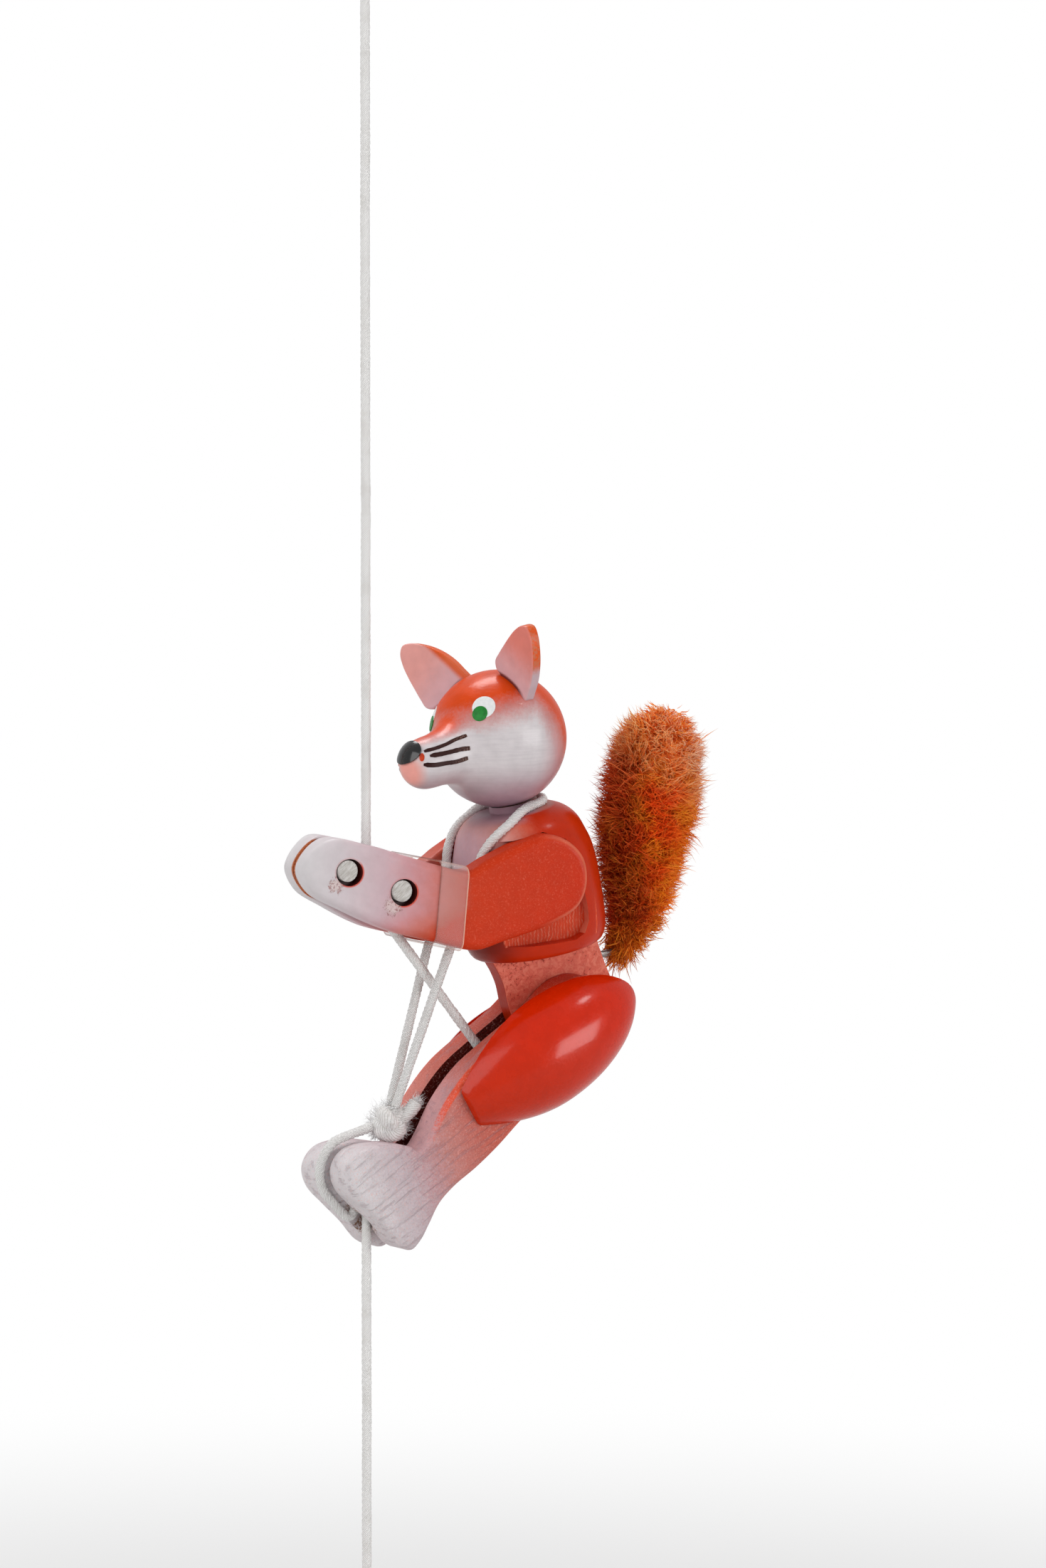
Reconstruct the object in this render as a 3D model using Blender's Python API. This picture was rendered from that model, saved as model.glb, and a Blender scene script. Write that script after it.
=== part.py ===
"""Climbing fox: a wooden fox that climbs a cord. Lengths below are in millimetres.

The fox faces -X, its left side is -Y and the climbing cord is the vertical line x = 0, y = 0.
Heights are first written from the hole in the soles and then moved so that the world origin is
inside the top of the hanging loop.
"""
import math

import bmesh
import bpy
from mathutils import Matrix, Vector

MM = 0.001

# driving dimensions
CORD_D = 2.06
ELASTIC_D = 2.0
FIT = 0.10            # radial room of every pin and dowel
GAP = 0.30            # room between faces that touch
LOOP_TOP_Z = 312.0    # inside top of the hanging loop above the soles' cord hole
LOOP_LENGTH = 26.0
TOP_KNOT_D = 5.6
BEAD_D = 16.0
BEAD_Z = -90.0
END_KNOT_D = 6.0

PIN_D = 4.8
PIN_RING_D = 6.7
PIN_RING_DEPTH = 1.6
PIN_PROUD = 0.4
GRIP = (-8.8, 81.3)   # front hand pin, which the arms turn on
REAR_PIN = (3.6, 76.4)

ARM_THICK = 6.1
ARM_GAP = 0.8         # half the room between the hands at ARM_GAP_X
ARM_GAP_X = -12.0
ARM_SPREAD = 0.21     # how fast each arm leaves the middle towards the shoulder
ARM_ROUND = 1.9

BAND_WIDTH = 6.5
BAND_THICK = 1.0

TORSO_FOOT = (44.2, 60.5)
TORSO_LEAN = math.radians(11.0)
SHOULDER = (38.0, 78.5)
SHOULDER_DOWEL_D = 4.5
NECK_DOWEL_D = 6.0
TONGUE_THICK = 4.2

HEAD_R = 15.4
NECK_TOP_S = 33.65    # rim of the head's seat along the torso's axis
NECK_TOP_R = 5.1
HEAD_S = NECK_TOP_S + math.sqrt((HEAD_R + GAP) ** 2 - NECK_TOP_R ** 2)
HEAD_SHIFT = -1.1     # head ahead of that axis
HEAD_TURN = math.radians(13.0)
HEAD_ROLL = math.radians(12.0)
MUZZLE_DROP = math.radians(10.0)
EAR_THICK = 2.8

HIP = (50.0, 45.5)
HIP_AXLE_D = 5.0
HIP_AXLE_HALF = 13.0
LEG_OUT = 10.3        # outer face of each leg
SLOT_HALF = 2.4
SEAM_HALF = 0.15
LEG_PIN = (31.1, 31.8)
LEG_PIN_D = 3.0
SOLE_HOLE = (-0.4, 0.3)
BORE_D = 7.0

THIGH_LENGTH = 49.3
THIGH_R = 13.2
THIGH_RISE = math.radians(29.7)
THIGH_HIP_AT = 0.690  # where the hip crosses the thigh, in parts of its length
THIGH_HIP_ABOVE = 1.67
THIGH_SINK = 3.5      # axis of the turned barrel inside the leg's outer face
FAR_THIGH_DROP = 5.0

KNOT = (5.5, 23.2)
KNOT_R = 3.6
WIRE_D = 1.6
OUTLINE_SLACK = 0.07


def clear():
    for ob in list(bpy.data.objects):
        bpy.data.objects.remove(ob, do_unlink=True)
    for store in (bpy.data.meshes, bpy.data.curves, bpy.data.materials):
        for item in list(store):
            store.remove(item)


def world(x, y, z):
    return Vector((x, y, z - LOOP_TOP_Z)) * MM


def paint(ob, rgb):
    mat = bpy.data.materials.new(ob.name + "_mat")
    mat.diffuse_color = (rgb[0], rgb[1], rgb[2], 1.0)
    ob.data.materials.append(mat)


def mesh_object(name, verts, faces, rgb=(0.8, 0.3, 0.2), pivot=(0, 0, LOOP_TOP_Z)):
    """A closed body from millimetre points, with its origin at pivot."""
    origin = world(*pivot)
    bm = bmesh.new()
    made = [bm.verts.new(world(*v) - origin) for v in verts]
    for face in faces:
        bm.faces.new([made[i] for i in face])
    bmesh.ops.recalc_face_normals(bm, faces=bm.faces)
    if bm.calc_volume(signed=True) < 0:
        bmesh.ops.reverse_faces(bm, faces=bm.faces)
    bmesh.ops.triangulate(bm, faces=[f for f in bm.faces if len(f.verts) > 4])
    mesh = bpy.data.meshes.new(name)
    bm.to_mesh(mesh)
    bm.free()
    ob = bpy.data.objects.new(name, mesh)
    ob.location = origin
    bpy.context.scene.collection.objects.link(ob)
    paint(ob, rgb)
    return ob


def tool(ob):
    """Turns a body into a hidden cutter."""
    ob.hide_render = True
    ob.display_type = "WIRE"
    return ob


def cut(ob, cutter, how="DIFFERENCE"):
    mod = ob.modifiers.new(how.title() + "_" + cutter.name, "BOOLEAN")
    mod.operation = how
    mod.solver = "EXACT"
    mod.object = cutter


def smooth(points, per, closed):
    """Catmull-Rom curve through points, per steps to each stretch."""
    pts = [Vector(p) for p in points]
    n = len(pts)
    out = []
    spans = n if closed else n - 1
    for i in range(spans):
        p1, p2 = pts[i], pts[(i + 1) % n]
        p0 = pts[i - 1] if closed or i > 0 else p1 * 2 - p2
        p3 = pts[(i + 2) % n] if closed or i + 2 < n else p2 * 2 - p1
        d1 = max((p1 - p0).length, 1e-6) ** 0.5
        d2 = max((p2 - p1).length, 1e-6) ** 0.5
        d3 = max((p3 - p2).length, 1e-6) ** 0.5
        m1 = ((p1 - p0) / d1 - (p2 - p0) / (d1 + d2) + (p2 - p1) / d2) * d2
        m2 = ((p2 - p1) / d2 - (p3 - p1) / (d2 + d3) + (p3 - p2) / d3) * d2
        for k in range(per):
            t = k / per
            a = 2 * t ** 3 - 3 * t ** 2 + 1
            b = t ** 3 - 2 * t ** 2 + t
            c = -2 * t ** 3 + 3 * t ** 2
            d = t ** 3 - t ** 2
            out.append(p1 * a + m1 * b + p2 * c + m2 * d)
    if not closed:
        out.append(pts[-1].copy())
    return out


def resample(points, step, closed):
    """Points at even distances along a polyline."""
    pts = list(points) + ([points[0]] if closed else [])
    runs = [0.0]
    for a, b in zip(pts, pts[1:]):
        runs.append(runs[-1] + (b - a).length)
    count = max(3, round(runs[-1] / step))
    out = []
    j = 0
    for k in range(count if closed else count + 1):
        want = runs[-1] * k / count
        while j < len(runs) - 2 and runs[j + 1] < want:
            j += 1
        span = runs[j + 1] - runs[j]
        t = 0.0 if span == 0 else (want - runs[j]) / span
        out.append(pts[j].lerp(pts[j + 1], t))
    return out


def thin(points, slack, longest, closed):
    """Drops points of a fine polyline while it stays within slack of them."""
    pts = list(points) + ([points[0]] if closed else [])
    out = [pts[0]]
    i = 0
    while i < len(pts) - 1:
        j = i + 1
        while j + 1 < len(pts):
            chord = pts[j + 1] - pts[i]
            if chord.length > longest:
                break
            d = chord.normalized()
            off = max(((q - pts[i]) - d * (q - pts[i]).dot(d)).length for q in pts[i + 1:j + 1])
            if off > slack:
                break
            j += 1
        out.append(pts[j])
        i = j
    return out[:-1] if closed else out


def inset(outline, amount):
    """Moves a closed XZ outline inwards, less where it turns tightly."""
    n = len(outline)
    area = sum(outline[i].x * outline[(i + 1) % n].y - outline[(i + 1) % n].x * outline[i].y
               for i in range(n))
    side = 1.0 if area > 0 else -1.0
    out = []
    for i in range(n):
        a, b, c = outline[i - 1], outline[i], outline[(i + 1) % n]
        t = (c - a).normalized()
        inward = Vector((-t.y, t.x)) * side
        u, w = (b - a), (c - b)
        turn = math.atan2(u.x * w.y - u.y * w.x, u.dot(w)) * side
        room = amount
        if turn > 1e-4:
            room = min(amount, 0.8 * min(u.length, w.length) / turn)
        out.append(b + inward * room)
    return out


def loft(rings, ends=True):
    """Faces between rings of equal size, and end caps."""
    verts = [v for ring in rings for v in ring]
    n = len(rings[0])
    faces = []
    for r in range(len(rings) - 1):
        for i in range(n):
            j = (i + 1) % n
            faces.append((r * n + i, r * n + j, (r + 1) * n + j, (r + 1) * n + i))
    if ends:
        faces.append(tuple(range(n)))
        faces.append(tuple(range((len(rings) - 1) * n, len(rings) * n)))
    return verts, faces


def plate_rings(outline, t0, t1, r0, r1, steps, place):
    """Rings of a plate from t0 to t1 with edges rounded by r0 and r1; place maps (x, t, z)."""
    rings = []
    for k in range(steps + 1):
        a = math.radians(90 * k / steps)
        ring = inset(outline, r0 * (1 - math.sin(a)))
        rings.append([place(p.x, t0 + r0 * (1 - math.cos(a)), p.y) for p in ring])
    for k in range(steps + 1):
        a = math.radians(90 * (1 - k / steps))
        ring = inset(outline, r1 * (1 - math.sin(a)))
        rings.append([place(p.x, t1 - r1 * (1 - math.cos(a)), p.y) for p in ring])
    return rings


def plate(name, outline, t0, t1, r0, r1, place, steps=2, **kw):
    verts, faces = loft(plate_rings(outline, t0, t1, r0, r1, steps, place))
    return mesh_object(name, verts, faces, **kw)


def frame_of(axis, up=(0, 1, 0)):
    w = Vector(axis).normalized()
    u = Vector(up).cross(w).normalized()
    return u, w.cross(u), w


def revolve(name, base, axis, profile, sides, up=(0, 1, 0), **kw):
    """A turned body: profile holds (distance along the axis, radius); radius 0 at an end is a pole."""
    u, v, w = frame_of(axis, up)
    base = Vector(base)
    verts = []
    rings = []
    for s, r in profile:
        if r < 1e-6:
            rings.append([len(verts)])
            verts.append(base + w * s)
            continue
        rings.append(list(range(len(verts), len(verts) + sides)))
        for i in range(sides):
            a = 2 * math.pi * i / sides
            verts.append(base + w * s + (u * math.cos(a) + v * math.sin(a)) * r)
    faces = []
    for a, b in zip(rings, rings[1:]):
        for i in range(sides):
            j = (i + 1) % sides
            if len(a) == 1:
                faces.append((a[0], b[i], b[j]))
            elif len(b) == 1:
                faces.append((a[i], a[j], b[0]))
            else:
                faces.append((a[i], a[j], b[j], b[i]))
    if len(rings[0]) > 1:
        faces.append(tuple(rings[0]))
    if len(rings[-1]) > 1:
        faces.append(tuple(rings[-1]))
    return mesh_object(name, verts, faces, **kw)


def rod(name, a, b, radius, sides=24, edge=0.3, **kw):
    """A round pin with chamfered ends."""
    a, b = Vector(a), Vector(b)
    length = (b - a).length
    up = (0, 1, 0) if abs((b - a).normalized().y) < 0.9 else (0, 0, 1)
    profile = [(0, radius - edge), (edge, radius), (length - edge, radius), (length, radius - edge)]
    if edge == 0:
        profile = [(0, radius), (length, radius)]
    return revolve(name, a, b - a, profile, sides, up=up, **kw)


def cord(name, route, diameter, step, rgb, pivot=(0, 0, LOOP_TOP_Z), per=12):
    """A cord as a tube with closed ends along a smooth curve through route."""
    origin = world(*pivot)
    path = thin(smooth(route, per, False), 0.06, step, False)
    curve = bpy.data.curves.new(name, "CURVE")
    curve.dimensions = "3D"
    curve.bevel_depth = diameter / 2 * MM
    curve.bevel_resolution = 2
    curve.use_fill_caps = True
    spline = curve.splines.new("POLY")
    spline.points.add(len(path) - 1)
    for point, p in zip(spline.points, path):
        co = world(*p) - origin
        point.co = (co.x, co.y, co.z, 1.0)
    ob = bpy.data.objects.new(name, curve)
    ob.location = origin
    bpy.context.scene.collection.objects.link(ob)
    paint(ob, rgb)
    return ob


def xz(pairs):
    return [Vector(p) for p in pairs]


def ball_profile(radius, stretch, steps):
    out = []
    for k in range(steps + 1):
        a = math.pi * k / steps
        r = radius * math.sin(a)
        out.append((radius * stretch * (1 - math.cos(a)), r if 0 < k < steps else 0.0))
    return out


clear()

WOOD_ORANGE = (0.60, 0.07, 0.02)
WOOD_PALE = (0.62, 0.55, 0.58)
WOOD_RAW = (0.55, 0.36, 0.18)
CORD_WHITE = (0.80, 0.78, 0.75)
ROOT = (0.0, 0.0, LOOP_TOP_Z)
GRIP_PIVOT = (GRIP[0], 0.0, GRIP[1])
HIP_PIVOT = (HIP[0], 0.0, HIP[1])
CORD_R = CORD_D / 2
ELASTIC_R = ELASTIC_D / 2

# the hanging loop, its knot and the upper stretch of the cord
knot_z = LOOP_TOP_Z - LOOP_LENGTH - TOP_KNOT_D / 2
revolve("loop_knot", (0, 0, knot_z - TOP_KNOT_D / 2), (0, 0, 1), ball_profile(TOP_KNOT_D / 2, 1.0, 7), 12,
        rgb=CORD_WHITE, pivot=ROOT)
loop_in = knot_z + TOP_KNOT_D / 2 * 0.55 + GAP
loop_x = TOP_KNOT_D / 2 * 0.85 + GAP
cord("hanging_loop",
     [(-loop_x, 0, loop_in), (-5.6, 0, loop_in + 7.5), (-7.4, 0, loop_in + 16.0),
      (-5.6, 0, LOOP_TOP_Z - 1.2), (0, 0, LOOP_TOP_Z + CORD_R), (5.6, 0, LOOP_TOP_Z - 1.2),
      (7.4, 0, loop_in + 16.0), (5.6, 0, loop_in + 7.5), (loop_x, 0, loop_in)],
     CORD_D, 5.0, CORD_WHITE, ROOT)
upper_end = REAR_PIN[1] + 0.6
cord("cord_upper", [(0, 0, knot_z - TOP_KNOT_D / 2 - GAP), (0, 0, 180.0), (0, 0, upper_end)],
     CORD_D, 5.0, CORD_WHITE, ROOT)

# the lower stretch with the bead that is pulled and its stop knot
end_knot_top = BEAD_Z - BEAD_D / 2 - GAP
cord("cord_lower", [(0, 0, 3.6), (0, 0, -40.0), (0, 0, end_knot_top - GAP)], CORD_D, 5.0, CORD_WHITE, ROOT)
bead = revolve("pull_bead", (0, 0, BEAD_Z - BEAD_D / 2), (0, 0, 1), ball_profile(BEAD_D / 2, 1.0, 10), 20,
               rgb=WOOD_ORANGE, pivot=ROOT)
bead_bore = tool(rod("cut_bead_bore", (0, 0, BEAD_Z - BEAD_D), (0, 0, BEAD_Z + BEAD_D), CORD_R + GAP, 20, 0))
cut(bead, bead_bore)
revolve("bottom_knot", (0, 0, end_knot_top - GAP * 2 - END_KNOT_D), (0, 0, 1),
        ball_profile(END_KNOT_D / 2, 1.0, 7), 12, rgb=CORD_WHITE, pivot=ROOT)


# arms, straight plates that meet at the hands
def arm_inner(x):
    return ARM_GAP + ARM_SPREAD * (x - ARM_GAP_X)


ARM_OUTLINE = xz([(-18.5, 82.0), (-12.5, 88.3), (-3.7, 86.9), (5.3, 84.0), (13.0, 81.6), (19.0, 80.3),
                  (24.4, 82.9), (32.9, 86.7), (37.3, 87.9), (42.4, 86.1), (45.8, 82.2), (46.3, 77.2),
                  (44.0, 72.8), (38.5, 69.2), (27.2, 64.6), (21.6, 62.4), (17.7, 62.8), (11.5, 64.6),
                  (1.9, 67.3), (-8.6, 72.2), (-16.0, 76.6)])
arm_outline = thin(smooth(ARM_OUTLINE, 8, True), OUTLINE_SLACK, 8.0, True)
shoulder_dowel_half = arm_inner(SHOULDER[0]) + ARM_THICK * 0.62
shoulder_bore = tool(rod("cut_shoulder_bore", (SHOULDER[0], -shoulder_dowel_half - GAP, SHOULDER[1]),
                         (SHOULDER[0], shoulder_dowel_half + GAP, SHOULDER[1]),
                         SHOULDER_DOWEL_D / 2 + FIT, 16, 0))
pin_cutters = {-1: [], 1: []}
for label, (px, pz) in (("front", GRIP), ("rear", REAR_PIN)):
    pin_bore = tool(rod("cut_bore_" + label, (px, -30, pz), (px, 30, pz), PIN_D / 2 + FIT, 24, 0))
    face = arm_inner(px) + ARM_THICK
    for side in (-1, 1):
        ring = tool(rod("cut_ring_%s_%s" % (label, "left" if side < 0 else "right"),
                        (px, side * (face - PIN_RING_DEPTH), pz), (px, side * 30, pz), PIN_RING_D / 2, 24, 0))
        pin_cutters[side] += [pin_bore, ring]
for side, name in ((-1, "arm_left"), (1, "arm_right")):
    clip = tool(mesh_object("cut_far_half_" + name, *loft([
        [(-40, SEAM_HALF * side, 50), (0, SEAM_HALF * side, 50), (0, SEAM_HALF * side, 110),
         (-40, SEAM_HALF * side, 110)],
        [(-40, -8 * side, 50), (0, -8 * side, 50), (0, -8 * side, 110), (-40, -8 * side, 110)]])))
    arm = plate(name, arm_outline, 0.0, ARM_THICK, 0.7, ARM_ROUND,
                lambda x, t, z, side=side: (x, side * (arm_inner(x) + t), z),
                rgb=WOOD_ORANGE, pivot=GRIP_PIVOT)
    cut(arm, clip)
    cut(arm, shoulder_bore)
    for cutter in pin_cutters[side]:
        cut(arm, cutter)

for name, (px, pz), pivot in (("hand_pin_front", GRIP, GRIP_PIVOT), ("hand_pin_rear", REAR_PIN, GRIP_PIVOT)):
    half = arm_inner(px) + ARM_THICK + PIN_PROUD
    rod(name, (px, -half, pz), (px, half, pz), PIN_D / 2, 24, 0.35, rgb=(0.7, 0.68, 0.68), pivot=pivot)
rod("shoulder_dowel", (SHOULDER[0], -shoulder_dowel_half, SHOULDER[1]),
    (SHOULDER[0], shoulder_dowel_half, SHOULDER[1]), SHOULDER_DOWEL_D / 2, 16, 0.4,
    rgb=WOOD_RAW, pivot=GRIP_PIVOT)

# clear band round both arms
BAND_FOOT = (14.05, 63.2)
BAND_SLOPE = 0.0874


def band_ring(shift, grow):
    """One edge loop of the band: shift along the arms, grow beyond its inner face."""
    top = 81.7 - 0.245 * shift + GAP + grow
    low = 63.6 - 0.27 * shift - GAP - grow
    ref = BAND_FOOT[0] + shift
    half = arm_inner(ref) + ARM_THICK + GAP + grow
    radius = ARM_ROUND + grow
    out = []
    for cy, cz, start in ((half - radius, top - radius, 0), (-half + radius, top - radius, 90),
                          (-half + radius, low + radius, 180), (half - radius, low + radius, 270)):
        for k in range(6):
            a = math.radians(start + 18 * k)
            y, z = cy + radius * math.cos(a), cz + radius * math.sin(a)
            x = BAND_FOOT[0] + BAND_SLOPE * (z - BAND_FOOT[1]) + shift
            out.append((x, y + ARM_SPREAD * (x - ref) * y / half, z))
    return out


band_half = BAND_WIDTH / 2
band_rings = [band_ring(-band_half, 0), band_ring(0, 0), band_ring(band_half, 0),
              band_ring(band_half, BAND_THICK), band_ring(0, BAND_THICK), band_ring(-band_half, BAND_THICK)]
count = len(band_rings[0])
band_verts = [v for ring in band_rings for v in ring]
band_faces = []
for r in range(6):
    for i in range(count):
        j = (i + 1) % count
        q = (r + 1) % 6
        band_faces.append((r * count + i, r * count + j, q * count + j, q * count + i))
mesh_object("arm_band", band_verts, band_faces, rgb=(0.8, 0.8, 0.8), pivot=GRIP_PIVOT)

# torso: a turned bullet with milled shoulders and a tongue for the hip
AXIS = Vector((-math.sin(TORSO_LEAN), 0, math.cos(TORSO_LEAN)))
TORSO_BASE = Vector((TORSO_FOOT[0], 0, TORSO_FOOT[1]))
NECK_GROOVE_S = 31.9
neck_r = NECK_DOWEL_D / 2 + FIT
seat_r = HEAD_R + GAP
torso_profile = [(0.0, 0.0), (0.0, 13.6), (0.35, 14.6), (1.3, 15.3)]
torso_profile += [(2.6, 15.8), (4.9, 16.15), (12.3, 16.4), (19.0, 16.25), (22.5, 15.75), (25.4, 14.85),
                  (27.9, 13.6), (29.5, 12.1), (30.7, 10.2), (31.4, 8.0)]
torso_profile += [(NECK_GROOVE_S - 0.05, 6.4), (NECK_GROOVE_S, 5.4), (NECK_TOP_S + 0.2, NECK_TOP_R + 0.25)]
torso_profile += [(NECK_TOP_S + 0.4, NECK_TOP_R), (NECK_TOP_S + 0.4, neck_r), (24.3, neck_r), (24.3, 0.0)]
torso = revolve("torso", TORSO_BASE, AXIS, torso_profile, 36, rgb=WOOD_ORANGE, pivot=GRIP_PIVOT)
tongue_outline = thin(smooth(xz([
    (29.8, 63.0), (31.0, 58.6), (32.8, 55.6), (34.2, 52.6), (35.6, 47.3), (38.4, 41.6), (43.6, 37.6),
    (50.2, 36.2), (56.6, 38.2), (60.6, 42.6), (62.2, 47.6), (62.2, 52.1), (60.4, 56.4), (59.0, 60.0),
    (56.0, 67.0), (44.0, 70.0)]), 6, True), OUTLINE_SLACK, 8.0, True)
tongue = tool(plate("add_tongue", tongue_outline, -TONGUE_THICK / 2, TONGUE_THICK / 2, 0.3, 0.3,
                    lambda x, t, z: (x, t, z), steps=1))
cut(torso, tongue, "UNION")
pocket_outline = [(8.0, 63.2), (34.0, 63.6), (44.9, 64.8), (48.0, 65.9), (49.6, 68.8), (49.9, 72.0),
                  (49.6, 82.0), (48.4, 86.2), (45.2, 88.7), (41.0, 89.3), (8.0, 89.3)]
for side, name in ((-1, "cut_pocket_left"), (1, "cut_pocket_right")):
    pocket = tool(mesh_object(name, *loft([
        [(x, side * (arm_inner(x) - GAP), z) for x, z in pocket_outline],
        [(x, side * 30.0, z) for x, z in pocket_outline]])))
    cut(torso, pocket)
head_centre = TORSO_BASE + AXIS * HEAD_S + Vector((HEAD_SHIFT, 0, 0))
head_seat = tool(revolve("cut_head_seat", head_centre - Vector((0, 0, seat_r)), (0, 0, 1),
                         ball_profile(seat_r, 1.0, 16), 32))
cut(torso, head_seat)
cut(torso, shoulder_bore)
hip_bore = tool(rod("cut_hip_bore", (HIP[0], -HIP_AXLE_HALF - GAP, HIP[1]),
                    (HIP[0], HIP_AXLE_HALF + GAP, HIP[1]), HIP_AXLE_D / 2 + FIT * 0.8, 24, 0))
cut(torso, hip_bore)

# tail: a twisted brush on a wire that sits in the back of the tongue
WIRE_ROUTE = [(52.6, 0, 60.4), (57.0, 0, 58.9), (61.0, 0, 57.9), (64.4, 0, 58.8), (67.0, 0, 61.6),
              (69.6, 0, 68.0)]


def tube(name, route, radius, sides, **kw):
    path = thin(smooth(route, 10, False), 0.05, 5.0, False)
    rings = []
    for i, p in enumerate(path):
        t = (path[min(i + 1, len(path) - 1)] - path[max(i - 1, 0)]).normalized()
        side_v = Vector((0, 1, 0))
        up = t.cross(side_v).normalized()
        rings.append([p + side_v * radius * math.cos(a) + up * radius * math.sin(a)
                      for a in (2 * math.pi * k / sides for k in range(sides))])
    return mesh_object(name, *loft(rings), **kw)


tube("tail_wire", WIRE_ROUTE, WIRE_D / 2, 10, rgb=(0.35, 0.33, 0.32), pivot=GRIP_PIVOT)
wire_bore = tool(tube("cut_wire_bore", [(52.2, 0, 60.5)] + WIRE_ROUTE[1:-1] + [(69.8, 0, 68.6)],
                      WIRE_D / 2 + FIT + 0.1, 10))
cut(torso, wire_bore)
TAIL = [(64.4, 57.2, 1.8), (66.6, 60.4, 4.3), (69.0, 64.6, 6.6), (70.4, 70.4, 8.6), (70.9, 77.5, 10.4),
        (71.9, 86.0, 11.6), (73.5, 94.0, 12.0), (75.5, 102.0, 11.2), (77.4, 107.6, 9.2), (78.7, 111.0, 5.6),
        (79.1, 112.6, 2.4)]
stations = resample(smooth(TAIL, 6, False), 4.2, False)
tail_rings = []
for i, p in enumerate(stations):
    a = stations[max(i - 1, 0)]
    b = stations[min(i + 1, len(stations) - 1)]
    t = Vector((b.x - a.x, 0, b.y - a.y)).normalized()
    across = Vector((t.z, 0, -t.x))
    radius = p.z
    side_v = Vector((0, 0.92, 0))
    tail_rings.append([Vector((p.x, 0, p.y)) + (across * math.cos(q) + side_v * math.sin(q)) * radius
                       for q in (2 * math.pi * k / 20 for k in range(20))])
brush = mesh_object("tail_brush", *loft(tail_rings), rgb=(0.5, 0.12, 0.02), pivot=GRIP_PIVOT)
cut(brush, wire_bore)

# head: one turned pear, its muzzle dropped, on the neck dowel
fwd = Vector((-math.cos(HEAD_TURN), -math.sin(HEAD_TURN), 0))
near0 = Vector((math.sin(HEAD_TURN), -math.cos(HEAD_TURN), 0))
near = near0 * math.cos(HEAD_ROLL) + Vector((0, 0, 1)) * math.sin(HEAD_ROLL)
crown = Vector((0, 0, 1)) * math.cos(HEAD_ROLL) - near0 * math.sin(HEAD_ROLL)
muzzle_axis = fwd * math.cos(MUZZLE_DROP) - crown * math.sin(MUZZLE_DROP)
head_profile = []
for k in range(12):
    a = math.pi * k / 16
    head_profile.append((-HEAD_R * math.cos(a), HEAD_R * math.sin(a) if k else 0.0))
# muzzle, in parts of the head's radius
MUZZLE = [(0.688, 0.714), (0.766, 0.623), (0.844, 0.545), (0.948, 0.474), (1.078, 0.422), (1.273, 0.386),
          (1.468, 0.377), (1.584, 0.354), (1.675, 0.308), (1.747, 0.240), (1.799, 0.156), (1.825, 0.071),
          (1.831, 0.0)]
head_profile += [(s * HEAD_R, r * HEAD_R) for s, r in MUZZLE]
head = revolve("head", head_centre, muzzle_axis, head_profile, 30, up=crown, rgb=WOOD_ORANGE,
               pivot=GRIP_PIVOT)
neck_bore = tool(rod("cut_neck_bore", TORSO_BASE + AXIS * (HEAD_S - HEAD_R - 6),
                     TORSO_BASE + AXIS * (HEAD_S - 6.6),
                     neck_r, 18, 0))
cut(head, neck_bore)
rod("neck_dowel", TORSO_BASE + AXIS * (24.3 + GAP), TORSO_BASE + AXIS * (HEAD_S - 6.6 - GAP),
    NECK_DOWEL_D / 2, 18, 0.5, rgb=WOOD_RAW, pivot=GRIP_PIVOT)

# ears: leaf-shaped plates whose roots are cut to the ball
EAR_LEAF = [(-4.2, -3.0), (-5.6, 1.8), (-6.2, 6.0), (-5.6, 10.2), (-3.6, 13.8), (-0.3, 15.6), (2.8, 14.8),
            (5.0, 11.6), (6.1, 7.2), (5.9, 2.6), (4.4, -3.0)]
ear_outline = thin(smooth(xz(EAR_LEAF), 8, True), OUTLINE_SLACK, 8.0, True)
for side, name in ((1, "ear_left"), (-1, "ear_right")):
    root = head_centre + (fwd * 0.097 + near * (0.630 * side) + crown * 0.708) * HEAD_R
    tip = root + fwd * 2.6 + near * (9.9 * side) + crown * 11.1
    e = (tip - root).normalized()
    n = (fwd - e * fwd.dot(e)).normalized()
    w = n.cross(e)
    ear = plate(name, ear_outline, -EAR_THICK / 2, EAR_THICK / 2, 0.45, 0.45,
                lambda x, t, z, root=root, e=e, n=n, w=w: root + w * x + e * z + n * t,
                steps=2, rgb=WOOD_PALE, pivot=GRIP_PIVOT)
    cut(ear, head_seat)

# legs: plates that end in feet pressed together, with a slot above the feet
LEG_OUTLINE = [(8.4, 18.0), (6.1, 18.9), (1.8, 19.6), (-3.1, 19.5), (-7.1, 18.3), (-9.5, 15.7), (-10.1, 12.8),
               (-8.8, 9.3), (-4.8, 5.2), (-0.4, 1.0), (3.6, -3.4), (6.4, -4.4), (8.8, -2.4), (11.0, 1.2),
               (13.6, 5.6), (17.4, 9.2), (23.0, 13.0), (28.6, 17.4), (35.5, 23.6), (46.0, 31.2), (55.0, 37.6),
               (58.9, 44.0), (57.6, 50.4), (52.0, 54.3), (45.2, 53.2), (36.6, 46.2), (28.1, 40.4),
               (20.8, 35.0), (14.7, 27.9), (10.6, 20.6)]
TOE = range(1, 12)
FAR_TOE = (-1.6, -0.4)
slot_cut = tool(mesh_object("cut_slot", *loft([
    [(x, y, z) for x, z in ((7.2, 19.6), (9.6, 17.1), (12.3, 14.9), (21.0, 10.5), (30.0, 4.0), (80.0, 20.0),
                            (80.0, 64.0), (20.0, 64.0), (-2.0, 40.0))] for y in (-SLOT_HALF, SLOT_HALF)])))
line = Vector((LEG_PIN[0] - SOLE_HOLE[0], 0, LEG_PIN[1] - SOLE_HOLE[1]))
wrap = LEG_PIN_D / 2 + CORD_R + FIT
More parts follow.
